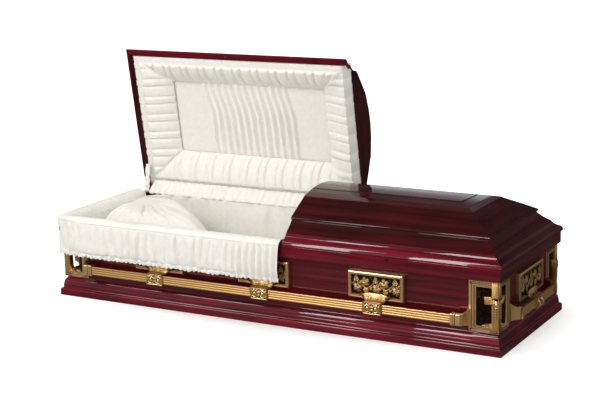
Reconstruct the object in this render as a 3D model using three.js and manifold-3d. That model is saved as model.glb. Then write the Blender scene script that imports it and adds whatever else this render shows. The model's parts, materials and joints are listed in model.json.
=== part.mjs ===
// Funeral casket with a hinged two-part lid, shown with the head lid open.
// Millimetres, +Z up. +X points to the foot end and -Y to the front.
// The origin is the middle of the underside.
import * as THREE from "three";
import { mergeVertices } from "three/addons/utils/BufferGeometryUtils.js";
import Module from "manifold-3d";

const wasm = await Module();
wasm.setup();

// Driving dimensions
const BASE = { x: 1040, y: 347 }; // half length and half width over the plinth
const BASE_TOP = 84;
const BOARD_THICK = 20;
const WALL = { x: 1013, y: 320, thick: 20, corner: 93 }; // outer faces of the boards
const RIM = { x: 1033, y: 340, bottom: 290.4, top: 340, wide: 40 };
const LID_BOTTOM = 343;
const CUT_X = 98; // where head lid and foot lid meet
const CUT_GAP = 1; // each lid stops this far from CUT_X
const HINGE = { y: 343.2, z: 341.5 };
const OPEN_DEG = 80.9;
const TOUCH = 0.4; // clearance between neighbouring pieces
const MATTRESS_TOP = 190;
const BAR = { outer: 372, thick: 14, low: 118, high: 155 };
const LUG_X = [-512, 0, 512];

// Materials
const wood = new THREE.MeshStandardMaterial({ color: 0x4a0a12, roughness: 0.12 });
const brass = new THREE.MeshStandardMaterial({ color: 0xc9973f, roughness: 0.3, metalness: 1 });
const oldBrass = new THREE.MeshStandardMaterial({ color: 0x9a7440, roughness: 0.4, metalness: 1 });
const satin = new THREE.MeshStandardMaterial({ color: 0xf1ece0, roughness: 0.7 });
const ticking = new THREE.MeshStandardMaterial({ color: 0xe6e0d2, roughness: 0.9 });

// Turns a closed geometry into a solid with its faces pointing out, and back again.
function solid(geometry) {
  const plain = geometry.clone();
  plain.deleteAttribute("normal");
  plain.deleteAttribute("uv");
  const merged = mergeVertices(plain, 1e-3);
  const corners = merged.attributes.position.array;
  const faces = [];
  const index = merged.index.array;
  for (let i = 0; i < index.length; i += 3) {
    const [a, b, c] = [index[i], index[i + 1], index[i + 2]];
    if (a !== b && b !== c && c !== a) faces.push(a, b, c);
  }
  const build = (list) =>
    new wasm.Manifold(
      new wasm.Mesh({
        numProp: 3,
        vertProperties: corners,
        triVerts: new Uint32Array(list),
      }),
    );
  const made = build(faces);
  if (made.volume() > 0) return made;
  for (let i = 0; i < faces.length; i += 3) {
    [faces[i + 1], faces[i + 2]] = [faces[i + 2], faces[i + 1]];
  }
  return build(faces);
}

function geometryOf(made) {
  const { vertProperties, triVerts } = made.getMesh();
  const geometry = new THREE.BufferGeometry();
  geometry.setAttribute("position", new THREE.BufferAttribute(vertProperties, 3));
  geometry.setIndex(new THREE.BufferAttribute(triVerts, 1));
  const flat = geometry.toNonIndexed();
  flat.computeVertexNormals();
  return flat;
}

const join = (...solids) => solids.reduce((all, one) => all.add(one));

function mesh(name, made, material, parent) {
  const piece = new THREE.Mesh(geometryOf(made), material);
  piece.name = name;
  parent.add(piece);
  return piece;
}

// Extrusions of a 2-D outline: [y, z] along X, [x, z] along Y and [x, y] along Z.
function extrude(outline, depth) {
  const shape = new THREE.Shape(outline.map(([u, v]) => new THREE.Vector2(u, v)));
  return new THREE.ExtrudeGeometry(shape, { depth, bevelEnabled: false });
}

function turned(geometry, xAxis, yAxis, zAxis, shift) {
  const axes = [xAxis, yAxis, zAxis].map((a) => new THREE.Vector3(...a));
  const matrix = new THREE.Matrix4().makeBasis(...axes).setPosition(...shift);
  return geometry.applyMatrix4(matrix);
}

function alongX(outline, from, to) {
  return solid(turned(extrude(outline, to - from), [0, 1, 0], [0, 0, 1], [1, 0, 0], [from, 0, 0]));
}

function alongY(outline, from, to) {
  return solid(turned(extrude(outline, to - from), [1, 0, 0], [0, 0, 1], [0, -1, 0], [0, to, 0]));
}

function alongZ(outline, from, to) {
  return solid(extrude(outline, to - from).translate(0, 0, from));
}

function block(low, high) {
  const size = high.map((h, i) => h - low[i]);
  const centre = high.map((h, i) => (h + low[i]) / 2);
  return solid(new THREE.BoxGeometry(...size).translate(...centre));
}

// A copy of a solid, mirrored in X, in Y, or in both.
function mirrored(made, signX, signY) {
  const geometry = geometryOf(made).scale(signX, signY, 1);
  return solid(geometry);
}

// A quarter turn about Z that carries a piece of the front side to the foot end.
function onFootEnd(made, shiftX) {
  return solid(geometryOf(made).rotateZ(Math.PI / 2).translate(shiftX, 0, 0));
}

// A moulding on one side of a rectangle. Its profile is [inset from the outer edge, height],
// and each end is mitred unless a square end is given.
function rail(profile, side, half, squareFrom = null, squareTo = null) {
  const geometry = extrude(profile, 1);
  const places = geometry.attributes.position;
  const lengthwise = side === "front" || side === "back";
  const run = lengthwise ? half.x : half.y;
  const across = lengthwise ? half.y : half.x;
  const sign = side === "front" || side === "head" ? -1 : 1;
  for (let i = 0; i < places.count; i++) {
    const [inset, height, end] = [places.getX(i), places.getY(i), places.getZ(i)];
    const mitre = run - inset - TOUCH / 2;
    const along = end < 0.5 ? (squareFrom ?? -mitre) : (squareTo ?? mitre);
    const out = sign * (across - inset);
    if (lengthwise) places.setXYZ(i, along, out, height);
    else places.setXYZ(i, out, along, height);
  }
  return solid(geometry);
}

function curve(start, control, end, steps) {
  const path = new THREE.QuadraticBezierCurve(
    new THREE.Vector2(...start),
    new THREE.Vector2(...control),
    new THREE.Vector2(...end),
  );
  return path.getPoints(steps).map((p) => [p.x, p.y]);
}

// The eight outer corners of the box walls, or of a line that far inside them.
function octagon(inside) {
  const cut = WALL.corner - inside * (2 - Math.SQRT2);
  const [x, y] = [WALL.x - inside, WALL.y - inside];
  return [
    [-x + cut, -y],
    [x - cut, -y],
    [x, -y + cut],
    [x, y - cut],
    [x - cut, y],
    [-x + cut, y],
    [-x, y - cut],
    [-x, -y + cut],
  ];
}

const casket = new THREE.Group();
const headLid = new THREE.Group();
const footLid = new THREE.Group();
casket.add(headLid, footLid);

// Plinth: four mitred mouldings around the bottom board
const PLINTH_WIDE = 60;
const plinthProfile = [
  [0, 0],
  [0, 27],
  [2, 30],
  [7, 32],
  [11, 38],
  [11, 50],
  ...curve([13, 54], [13, 68], [20, 73], 3),
  [22, 77],
  [27, BASE_TOP],
  [PLINTH_WIDE, BASE_TOP],
  [PLINTH_WIDE, 0],
];
for (const side of ["front", "back", "head", "foot"]) {
  mesh(`plinth_moulding_${side}`, rail(plinthProfile, side, BASE), wood, casket);
}
const boardHalf = { x: BASE.x - PLINTH_WIDE - TOUCH, y: BASE.y - PLINTH_WIDE - TOUCH };
const bottomBoard = block([-boardHalf.x, -boardHalf.y, 0], [boardHalf.x, boardHalf.y, BOARD_THICK]);
mesh("bottom_board", bottomBoard, wood, casket);

// Walls: two sides, two ends and four slanting corner boards
const wallNames = [
  "side_board_front",
  "corner_board_foot_front",
  "end_board_foot",
  "corner_board_foot_back",
  "side_board_back",
  "corner_board_head_back",
  "end_board_head",
  "corner_board_head_front",
];
const outerWall = octagon(0);
const innerWall = octagon(WALL.thick);
wallNames.forEach((name, i) => {
  const next = (i + 1) % 8;
  const corners = [outerWall[i], outerWall[next], innerWall[next], innerWall[i]];
  const quad = corners.map((p) => new THREE.Vector2(...p));
  const run = quad[1].clone().sub(quad[0]).setLength(TOUCH / 2);
  quad[0].add(run);
  quad[3].add(run);
  quad[1].sub(run);
  quad[2].sub(run);
  const outline = quad.map((p) => [p.x, p.y]);
  mesh(name, alongZ(outline, BASE_TOP + TOUCH, RIM.bottom - TOUCH), wood, casket);
});

// Rim: four mitred rails that carry the lids
const rimProfile = [
  [3, RIM.bottom],
  [0, RIM.bottom + 4],
  [0, RIM.top - 2],
  [2, RIM.top],
  [RIM.wide, RIM.top],
  [RIM.wide, RIM.bottom],
];
for (const side of ["front", "back", "head", "foot"]) {
  mesh(`rim_rail_${side}`, rail(rimProfile, side, RIM), wood, casket);
}

// Lid mouldings: a lip that overhangs the rim, a rounded lower edge, a slope and a bevel
const LID_RAIL = { wide: 22, top: 43, back: 45, lip: 7.5 };
const lidSlope = [
  ...curve([-7, 6], [-4, 18], [6, 22], 3),
  [21, 30],
  [31, LID_RAIL.top],
  [LID_RAIL.back, LID_RAIL.top],
  [LID_RAIL.back, 30],
  [LID_RAIL.wide, 20],
  [LID_RAIL.wide, 0],
];
const lipRebate = 2.6; // the back moulding is cut this high for the hinge
const onLid = ([inset, height]) => [inset, height + LID_BOTTOM];
const lidMoulding = [[-LID_RAIL.lip, 0], [-LID_RAIL.lip, 3], ...lidSlope].map(onLid);
const backLip = [[0, 0], [0, lipRebate], [-LID_RAIL.lip, lipRebate], [-LID_RAIL.lip, 3]];
const backMoulding = [...backLip, ...lidSlope].map(onLid);

// Crown: the outer surface from the moulding up to the raised top panel, as [inset, height].
// A cove rises to a lip, and the dome goes on from there; the shell inside skips the lip.
const cove = [[33, LID_RAIL.top + TOUCH], [33, 46], ...curve([34, 47], [62, 66], [79, 88], 3)];
const crownLip = [
  [73.5, 92.5],
  [73, 97.5],
  [77, 101],
];
const dome = [
  ...curve([82, 103], [130, 132], [184, 159.5], 5),
  [187, 163],
  [262, 180.5],
  [264, 182.3],
  ...curve([268, 182.8], [305, 186.8], [340, 188], 2),
];
const SHELL = { inset: 8, drop: 10 };
const crownOuter = [...cove, ...crownLip, ...dome].map(onLid);
function crownWithin(gap) {
  const deeper = ([inset, height]) => [inset + SHELL.inset + gap, height - SHELL.drop - gap];
  return [...cove, ...dome].map(deeper).map(onLid);
}

function archOutline(profile, bottom) {
  const left = profile.map(([inset, height]) => [-(RIM.y - inset), height]).filter(([y]) => y < -0.01);
  const top = profile[profile.length - 1][1];
  const right = left.map(([y, z]) => [-y, z]).reverse();
  return [[left[0][0], bottom], ...left, [0, top], ...right, [right[right.length - 1][0], bottom]];
}

// The end outline of a lid that slopes down to the foot end and is square at the cut.
function endOutline(profile, cut, bottom) {
  const slope = profile.map(([inset, height]) => [RIM.x - inset, height]).reverse();
  const low = slope[slope.length - 1][0];
  return [[cut, bottom], [low, bottom], ...slope.reverse(), [cut, profile[profile.length - 1][1]]];
}

function hipped(profile, cut, bottom) {
  const arch = alongX(archOutline(profile, bottom), cut, RIM.x + 1);
  const end = alongY(endOutline(profile, cut, bottom), -RIM.y, RIM.y);
  return arch.intersect(end);
}

// The pieces of a lid that ends at cut and slopes to the foot end; the head lid is its mirror image.
const HEADER = { thick: 16, bottom: LID_BOTTOM + 50 };
function lidPieces(cut) {
  const outer = hipped(crownOuter, cut, LID_BOTTOM + LID_RAIL.top + TOUCH);
  const inner = hipped(crownWithin(0), cut - 5, LID_BOTTOM);
  const below = block([cut - 9, -RIM.y, 0], [cut + HEADER.thick + 9, RIM.y, HEADER.bottom]);
  return {
    front_moulding: rail(lidMoulding, "front", RIM, cut),
    back_moulding: rail(backMoulding, "back", RIM, cut),
    end_moulding: rail(lidMoulding, "foot", RIM),
    crown: outer.subtract(inner),
    header: alongX(archOutline(crownWithin(TOUCH), LID_BOTTOM), cut, cut + HEADER.thick).subtract(below),
  };
}

for (const [part, made] of Object.entries(lidPieces(CUT_X + CUT_GAP))) {
  mesh(`foot_lid_${part}`, made, wood, footLid);
}
for (const [part, made] of Object.entries(lidPieces(-CUT_X + CUT_GAP))) {
  mesh(`head_lid_${part}`, mirrored(made, -1, 1), wood, headLid);
}

// Padded border inside a lid: [distance inside the lid's edge, height], from the edge to the panel
const PANEL = { low: 52, high: 60 };
const LINING_EDGE = LID_RAIL.wide + 1;
function rollProfile(width) {
  const reach = width - LINING_EDGE;
  return [
    [LINING_EDGE, 7],
    [LINING_EDGE + 0.17 * reach, 3],
    [LINING_EDGE + 0.36 * reach, 7],
    [LINING_EDGE + 0.7 * reach, 28],
    [width, 50],
    [width, PANEL.high],
    [46, 28],
    [LINING_EDGE, 18],
  ].map(([inset, height]) => [inset, height + LID_BOTTOM]);
}
const ROLL = { front: 150, hinge: 190, head: 198, foot: 150 };
const front = (outline) => outline.map(([inset, height]) => [-(RIM.y - inset), height]);
const back = (outline) => outline.map(([inset, height]) => [RIM.y - inset, height]);

// The room that a lid leaves for its lining: the rolls keep below the mouldings and the crown.
const liningCeiling = [
  [LINING_EDGE, 18],
  [46, 28],
  [150, PANEL.high],
].map(([inset, height]) => [inset, height + LID_BOTTOM]);
function liningRoom(end, from, to) {
  const sides = [...front(liningCeiling), ...back(liningCeiling).reverse()];
  const half = RIM.y - LINING_EDGE;
  const slope = liningCeiling.map(([inset, height]) => [end * (RIM.x - inset), height]);
  const [edge] = slope[0];
  const cut = end > 0 ? from : to;
  const across = alongX([...sides, [half, LID_BOTTOM], [-half, LID_BOTTOM]], from, to);
  const ends = [[edge, LID_BOTTOM], ...slope, [cut, LID_BOTTOM + PANEL.high], [cut, LID_BOTTOM]];
  return across.intersect(alongY(ends, -RIM.y, RIM.y));
}

// Head lid lining: a border on all four sides around a gathered panel. Along the cut the border slopes
// down from the panel to the lid's edge and turns back up under the header.
const liningStart = -RIM.x + LINING_EDGE;
const liningEnd = CUT_X - CUT_GAP - HEADER.thick - 1;
const underHeader = CUT_X - CUT_GAP - 0.5;
const STRIP = { inner: -42, low: 1.5 };
const stripOutline = [
  [liningEnd, LID_BOTTOM + STRIP.low],
  [underHeader, HEADER.bottom - 0.8],
  [liningEnd, HEADER.bottom - 0.8],
  [liningEnd, LID_BOTTOM + PANEL.high],
  [STRIP.inner, LID_BOTTOM + PANEL.high],
  [STRIP.inner, LID_BOTTOM + 50],
];
const headRoll = rollProfile(ROLL.head).map(([inset, height]) => [-(RIM.x - inset), height]);
const acrossLid = [-RIM.y + LINING_EDGE, RIM.y - LINING_EDGE];
const headBorder = join(
  alongX(front(rollProfile(ROLL.front)), liningStart, liningEnd),
  alongX(back(rollProfile(ROLL.hinge)), liningStart, liningEnd),
  alongY(headRoll, ...acrossLid),
  alongY(stripOutline, ...acrossLid),
).intersect(liningRoom(-1, liningStart, underHeader));
mesh("head_lid_lining_border", headBorder, satin, headLid);
mesh(
  "head_lid_lining_panel",
  block(
    [-RIM.x + ROLL.head + 1, -RIM.y + ROLL.front + 1, LID_BOTTOM + PANEL.low],
    [STRIP.inner - 1, RIM.y - ROLL.hinge - 1, LID_BOTTOM + PANEL.high],
  ),
  satin,
  headLid,
);

// Foot lid lining: one plain padded tray
const footStart = CUT_X + CUT_GAP + HEADER.thick + 1;
const footEnd = RIM.x - LINING_EDGE;
const footRoll = rollProfile(ROLL.foot).map(([inset, height]) => [RIM.x - inset, height]);
mesh(
  "foot_lid_lining",
  join(
    alongX(front(rollProfile(ROLL.foot)), footStart, footEnd),
    alongX(back(rollProfile(ROLL.foot)), footStart, footEnd),
    alongY(footRoll, -RIM.y + LINING_EDGE, RIM.y - LINING_EDGE),
    block(
      [footStart, -RIM.y + ROLL.foot - 5, LID_BOTTOM + PANEL.low],
      [RIM.x - ROLL.foot + 5, RIM.y - ROLL.foot + 5, LID_BOTTOM + PANEL.high],
    ),
  ).intersect(liningRoom(1, footStart, footEnd)),
  satin,
  footLid,
);

// Continuous hinges at the back: a leaf and barrel on the rim, a leaf on each lid
function hinge(name, from, to, lid) {
  const barrel = new THREE.CylinderGeometry(2.6, 2.6, to - from, 10).rotateZ(Math.PI / 2);
  barrel.translate((from + to) / 2, HINGE.y, HINGE.z);
  const leaf = block([from, 318, RIM.top + 0.2], [to, 341.5, RIM.top + 1.2]);
  mesh(`${name}_rim_hinge`, join(leaf, solid(barrel)), oldBrass, casket);
  const lidLeaf = block([from, 318, LID_BOTTOM - 1.2], [to, 339.2, LID_BOTTOM - 0.2]);
  mesh(`${name}_lid_hinge`, lidLeaf, oldBrass, lid);
}
hinge("head_lid", -RIM.x + 60, CUT_X - 20, headLid);
hinge("foot_lid", CUT_X + 20, RIM.x - 60, footLid);

// Latch plates: one in the open lid's edge, one at the seam of the closed lid
function latch(name, shift, parent, turn) {
  const points = [
    [0, 0],
    [7, 0],
    [7, 1],
    [5, 2],
    [2.5, 2],
    [2.5, 1],
    [0, 1],
  ].map(([r, h]) => new THREE.Vector2(r, h));
  const plate = new THREE.LatheGeometry(points, 12).rotateX(turn);
  mesh(name, solid(plate.translate(...shift)), oldBrass, parent);
}
latch("head_lid_latch", [-500, -RIM.y + 11, LID_BOTTOM - TOUCH], headLid, -Math.PI / 2);
latch("foot_lid_latch", [560, -RIM.y - TOUCH, RIM.top - 9], casket, Math.PI);

// Soft furnishing of the box
function ring(outer, inner, low, high) {
  return alongZ(octagon(outer), low, high).subtract(alongZ(octagon(inner), low - 1, high + 1));
}
mesh(
  "box_lining",
  ring(WALL.thick + TOUCH, WALL.thick + 14, MATTRESS_TOP + TOUCH, RIM.top - 1),
  satin,
  casket,
);
mesh("mattress", alongZ(octagon(WALL.thick + 16), BOARD_THICK + TOUCH, MATTRESS_TOP), ticking, casket);

// Pillow: a plump form whose right edge runs slantwise to the back
const PILLOW = { x: [-965, -222], y: [-250, 250], low: MATTRESS_TOP + TOUCH, high: 374, slant: 0.6 };
function pillow() {
  const geometry = new THREE.SphereGeometry(1, 20, 10).rotateX(Math.PI / 2);
  const places = geometry.attributes.position;
  const boxy = (value, power) => Math.sign(value) * Math.abs(value) ** power;
  const mid = (pair) => (pair[0] + pair[1]) / 2;
  const half = (pair) => (pair[1] - pair[0]) / 2;
  for (let i = 0; i < places.count; i++) {
    const [a, b, c] = [boxy(places.getX(i), 0.6), boxy(places.getY(i), 0.6), boxy(places.getZ(i), 0.8)];
    const length = 1 - (PILLOW.slant * (b + 1)) / 2;
    const x = PILLOW.x[0] + half(PILLOW.x) * (a + 1) * length;
    const y = mid(PILLOW.y) + half(PILLOW.y) * b;
    const z = PILLOW.low + ((PILLOW.high - PILLOW.low) * (c + 1)) / 2;
    places.setXYZ(i, x, y, z);
  }
  return solid(geometry);
}
mesh("pillow", pillow(), satin, casket);

// Apron: cloth that rolls over the rim and hangs outside it, [distance outside the rim, height]
const APRON_HEM = 192;
const apronOuter = [
  [-41, RIM.top + 1],
  [-38, 354],
  [-22, 364],
  [0, 366],
  [16, 360],
  [25, 340],
  [29, 290],
  [35, 235],
  [33, 206],
  [29, APRON_HEM],
  [22, APRON_HEM + 1],
];
const apronInner = [
  [14, 230],
  [4, 300],
  [1.5, RIM.top + TOUCH],
];
const apronProfile = [...apronOuter, ...apronInner].map(([out, height]) => [-out, height]);
const APRON_END = { x: CUT_X - 6, y: 262 };
function apronCorner() {
  const point = ([out, height]) => new THREE.Vector2(out, height);
  const hem = apronOuter.filter(([out]) => out >= 0).map(point);
  const lift = apronInner.map(point);
  const top = new THREE.Vector2(0, RIM.top + TOUCH);
  const turnedForm = new THREE.LatheGeometry([...hem, ...lift, top, hem[0]], 16).rotateX(Math.PI / 2);
  return solid(turnedForm.translate(-RIM.x, -RIM.y, 0));
}
const APRON_TURN = { out: 37, radius: 112 }; // the hem is drawn in round the corner
function apronTurn() {
  const [x, y] = [-RIM.x - APRON_TURN.out, -RIM.y - APRON_TURN.out];
  const turn = Array.from({ length: 9 }, (_, i) => {
    const angle = (i * Math.PI) / 16;
    const reach = APRON_TURN.radius * (1 - Math.cos(angle));
    return [x + reach, y + APRON_TURN.radius * (1 - Math.sin(angle))];
  });
  return alongZ([...turn, [RIM.x, y], [RIM.x, RIM.y], [x, RIM.y]], 0, RIM.top + 60);
}
function apron() {
  const clear = 1.2;
  const room = block([-RIM.x - clear, -RIM.y - clear, 0], [RIM.x, RIM.y, RIM.top + TOUCH]);
  return join(
    rail(apronProfile, "front", RIM, null, APRON_END.x),
    rail(apronProfile, "head", RIM, null, APRON_END.y),
    apronCorner(),
  )
    .subtract(room)
    .intersect(apronTurn());
}
mesh("apron", apron(), satin, casket);

// Cloth between the back of the box and the open lid, and the sleeve of the lid stay
function strip(line, thick) {
  const far = line.map(([y, z], i) => {
    const before = line[Math.max(i - 1, 0)];
    const after = line[Math.min(i + 1, line.length - 1)];
    const run = new THREE.Vector2(after[0] - before[0], after[1] - before[1]).normalize();
    return [y + run.y * thick, z - run.x * thick];
  });
  return [...line, ...far.reverse()];
}
const hingeCloth = [
  [284, 342],
  [299, 352],
  [314, 365],
  [326, 379],
  [332, 392],
];
mesh("hinge_cloth", alongX(strip(hingeCloth, 3), -980, liningEnd), satin, casket);
const staySleeve = [
  [292, 342],
  [302, 385],
  [313, 470],
];
mesh("lid_stay_sleeve", alongX(strip(staySleeve, 3), -1014, -986), satin, casket);

// Carrying bars with three flutes in the outer face
function barOutline() {
  const [outer, inner] = [-BAR.outer, -BAR.outer + BAR.thick];
  const step = (BAR.high - BAR.low) / 4;
  const face = [];
  for (let i = 1; i <= 3; i++) {
    const z = BAR.low + i * step;
    face.push([outer, z - 3], [outer + 2.5, z], [outer, z + 3]);
  }
  return [
    [inner, BAR.low + 2],
    [outer + 3, BAR.low],
    [outer, BAR.low + 2.5],
    ...face,
    [outer, BAR.high - 2.5],
    [outer + 3, BAR.high],
    [inner, BAR.high - 2],
  ];
}
const COLLAR = { from: 843, to: 880, endFrom: 176, endTo: 208 };
const END_SHIFT = WALL.x - WALL.y; // carries a front piece out to the end wall
const frontBar = alongX(barOutline(), -COLLAR.from + TOUCH, COLLAR.from - TOUCH);
const endBar = onFootEnd(alongX(barOutline(), -COLLAR.endFrom + TOUCH, COLLAR.endFrom - TOUCH), END_SHIFT);
mesh("bar_front", frontBar, brass, casket);
mesh("bar_back", mirrored(frontBar, 1, -1), brass, casket);
mesh("bar_foot", endBar, brass, casket);
mesh("bar_head", mirrored(endBar, -1, 1), brass, casket);

// A relief of a vine with leaves and fruit, standing on a plate that faces -Y
const VINE = { waves: 2.5, swing: 0.36, stem: 3.4, leaf: 0.46, fruit: 6 };
function vine(halfWide, halfTall, floorY) {
  const height = (t) => VINE.swing * halfTall * Math.sin(VINE.waves * 2 * Math.PI * t);
  const steps = 6 * VINE.waves;
  const line = Array.from({ length: steps + 1 }, (_, i) => {
    const t = i / steps;
    return new THREE.Vector3(-halfWide + 2 * halfWide * t, floorY, height(t));
  });
  const section = new THREE.Shape(
    [0, 1, 2].map((k) => {
      const turn = (k * 2 * Math.PI) / 3;
      return new THREE.Vector2(VINE.stem * Math.cos(turn), VINE.stem * Math.sin(turn));
    }),
  );
  const extrudePath = new THREE.CatmullRomCurve3(line);
  const stem = new THREE.ExtrudeGeometry(section, { steps, extrudePath, bevelEnabled: false });
  const parts = [solid(stem)];
  const crests = 2 * VINE.waves;
  for (let i = 0; i < crests; i++) {
    const x = -halfWide + (2 * halfWide * (i + 0.5)) / crests;
    const up = i % 2 ? -1 : 1;
    const leaf = new THREE.ConeGeometry(VINE.leaf * halfTall, 8, 5).rotateX(Math.PI / 2);
    parts.push(solid(leaf.translate(x, floorY - 3, -0.4 * up * halfTall)));
    for (const side of [-1, 1]) {
      const fruit = new THREE.OctahedronGeometry(VINE.fruit);
      const at = [x + side * VINE.fruit, floorY - 1, up * (0.6 * halfTall + side * 2)];
      parts.push(solid(fruit.translate(...at)));
    }
  }
  return join(...parts);
}

// A lug: a framed relief plate on the wall, a leaf-shaped arm, and a clamp round the bar
function lug(halfWide, low, high) {
  const [face, wall] = [-(WALL.y + 21), -(WALL.y + TOUCH)];
  const border = 15;
  const floorY = face + 8;
  const mid = (low + high) / 2;
  const halfTall = (high - low) / 2;
  const rect = (inset) => [
    [-halfWide + inset, low + inset],
    [halfWide - inset, low + inset],
    [halfWide - inset, high - inset],
    [-halfWide + inset, high - inset],
  ];
  const plate = join(
    alongY(rect(0), face + 4, wall),
    alongY(rect(4), face, wall),
  ).subtract(alongY(rect(border), face - 1, floorY));
  const relief = vine(halfWide - border + 1, halfTall - border, floorY).translate([0, 0, mid]);
  const kept = alongY(rect(border - 2), face, floorY + 2);
  const shoulder = [
    ...curve([-38, 150], [-44, 166], [-76, 178], 3),
    [-62, 184],
    [0, 190],
    [62, 184],
    ...curve([76, 178], [44, 166], [38, 150], 3),
  ];
  const reach = [
    [wall, low],
    [wall, low + 24],
    [face - 3, low + 28],
    [face - 6, low + 16],
    [-BAR.outer - 5, 158],
    [-BAR.outer - 5, 150],
    [-BAR.outer + BAR.thick, 150],
    [-BAR.outer + BAR.thick, 157],
  ];
  const arm = alongY(shoulder, -BAR.outer - 20, wall).intersect(alongX(reach, -90, 90));
  const hold = { y: [-BAR.outer - 7, -BAR.outer + BAR.thick + 6], z: [BAR.low - 6, BAR.high + 5] };
  const clamp = block([-40, hold.y[0], hold.z[0]], [40, hold.y[1], hold.z[1]]);
  const knobs = [-19, 19].map((x) => {
    const points = [
      [0, -1],
      [16, -1],
      [14, 4],
      [8, 3],
      [0, 6],
    ].map(([r, h]) => new THREE.Vector2(r, h));
    const knob = new THREE.LatheGeometry(points, 8).rotateX(Math.PI);
    return solid(knob.translate(x, hold.y[0], (BAR.low + BAR.high) / 2));
  });
  const slot = block(
    [-60, -BAR.outer - TOUCH, BAR.low - TOUCH],
    [60, -BAR.outer + BAR.thick + TOUCH, BAR.high + TOUCH],
  );
  return join(plate, relief.intersect(kept), arm, clamp, ...knobs).subtract(slot);
}

const sideLug = lug(120.5, 163, 272);
const endLug = onFootEnd(lug(132, 160, 275), END_SHIFT);
LUG_X.forEach((x, i) => {
  const place = ["head", "middle", "foot"][i];
  mesh(`lug_front_${place}`, sideLug.translate([x, 0, 0]), oldBrass, casket);
  mesh(`lug_back_${place}`, mirrored(sideLug, 1, -1).translate([x, 0, 0]), oldBrass, casket);
});
mesh("lug_foot_end", endLug, oldBrass, casket);
mesh("lug_head_end", mirrored(endLug, -1, 1), oldBrass, casket);

// A corner casting: two open frames that meet at a cross, a back plate, and a stub for each bar
const CORNER = { x: WALL.x + 10, y: WALL.y + 10, low: 86, high: 286, leg: 124 };
function cornerFrame(from, to, plane, back) {
  const ringOf = (edge, near, far, deep) =>
    alongY(
      [
        [from + edge, CORNER.low + edge],
        [to, CORNER.low + edge],
        [to, CORNER.high - edge],
        [from + edge, CORNER.high - edge],
      ],
      near,
      back,
    ).subtract(
      alongY(
        [
          [from + deep, CORNER.low + 23],
          [to + 1, CORNER.low + 23],
          [to + 1, CORNER.high - far],
          [from + deep, CORNER.high - far],
        ],
        near - 1,
        back + 1,
      ),
    );
  return join(ringOf(0, plane + 4, 22, 30), ringOf(5, plane, 17, 24));
}
function stub(wallEdge, from, to) {
  const plane = -CORNER.y;
  const [outside, inside] = [-BAR.outer - 5, -BAR.outer + BAR.thick + 5];
  const plan = [
    [wallEdge + 8, plane + 9],
    [wallEdge + 8, plane],
    ...curve([wallEdge - 2, plane - 4], [to + 4, outside - 1], [to, outside], 3),
    [from, outside],
    [from, inside],
    ...curve([to - 4, inside], [wallEdge - 8, plane - 10], [wallEdge - 2, plane + 9], 3),
  ];
  const [low, high] = [BAR.low - 5, BAR.high + 5];
  const side = [
    [from, low],
    [to, low],
    ...curve([to + 4, low], [wallEdge - 8, low - 2], [wallEdge + 8, low - 14], 2),
    ...curve([wallEdge + 8, high + 18], [wallEdge - 8, high + 2], [to + 4, high], 2),
    [to, high],
    [from, high],
  ];
  return alongZ(plan, CORNER.low, CORNER.high).intersect(alongY(side, -BAR.outer - 20, plane + 12));
}
function corner() {
  const [x, y] = [CORNER.x, CORNER.y];
  const frontFrame = cornerFrame(x - CORNER.leg, x, -y, -(WALL.y + TOUCH));
  const endFrame = onFootEnd(
    mirrored(cornerFrame(y - CORNER.leg, y, -(x - END_SHIFT), -(WALL.x - END_SHIFT + TOUCH)), -1, 1),
    END_SHIFT,
  );
  const plateGap = TOUCH * Math.SQRT2;
  const [sideX, endY] = [WALL.x - WALL.corner, -WALL.y + WALL.corner];
  const back = alongZ(
    [
      [sideX + plateGap, -WALL.y],
      [sideX + plateGap + 6, -WALL.y - 3],
      [WALL.x + 3, endY - plateGap - 6],
      [WALL.x, endY - plateGap],
    ],
    CORNER.low,
    CORNER.high,
  );
  const foot = alongZ(
    [
      [sideX + 10, -y],
      [x, -y],
      [x, endY - 10],
      [WALL.x, endY - 10],
      [sideX + 10, -WALL.y],
    ],
    CORNER.low,
    CORNER.low + 14,
  );
  const post = 29;
  const cross = join(
    block([x - post, -y, CORNER.low + 10], [x, -y + post, CORNER.high - 3]),
    block([x - post - 30, -y, 198], [x, -y + 15, 228]),
    block([x - 15, -y, 198], [x, -y + post + 30, 228]),
    block([x - post - 7, -y, CORNER.low], [x, -y + post + 7, CORNER.low + 36]),
  );
  const cap = alongZ(
    [
      [x - CORNER.leg + 6, -y],
      [x, -y],
      [x, -y + CORNER.leg - 6],
      [x - 9, -y + CORNER.leg - 6],
      [x - 9, -y + 60],
      [x - 60, -y + 9],
      [x - CORNER.leg + 6, -y + 9],
    ],
    CORNER.high - 10,
    CORNER.high,
  );
  const endStub = onFootEnd(
    mirrored(stub(y - CORNER.leg, COLLAR.endFrom, COLLAR.endTo - 18), -1, 1),
    END_SHIFT,
  );
  const frontStub = stub(x - CORNER.leg, COLLAR.from, COLLAR.to);
  return join(frontFrame, endFrame, back, foot, cross, cap, frontStub, endStub);
}
const footFront = corner();
mesh("corner_casting_foot_front", footFront, oldBrass, casket);
mesh("corner_casting_foot_back", mirrored(footFront, 1, -1), oldBrass, casket);
mesh("corner_casting_head_front", mirrored(footFront, -1, 1), oldBrass, casket);
mesh("corner_casting_head_back", mirrored(footFront, -1, -1), oldBrass, casket);

// The head lid stands open about its hinge line
headLid.position.set(0, HINGE.y, HINGE.z);
headLid.rotation.x = THREE.MathUtils.degToRad(-OPEN_DEG);
for (const piece of headLid.children) piece.position.set(0, -HINGE.y, -HINGE.z);

export default casket;
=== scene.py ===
"""Funeral casket: lacquered mahogany, gilt castings and ruched ivory satin, head lid open."""
import json
import math

import bmesh
import bpy
from mathutils import Matrix, Vector, noise


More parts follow.
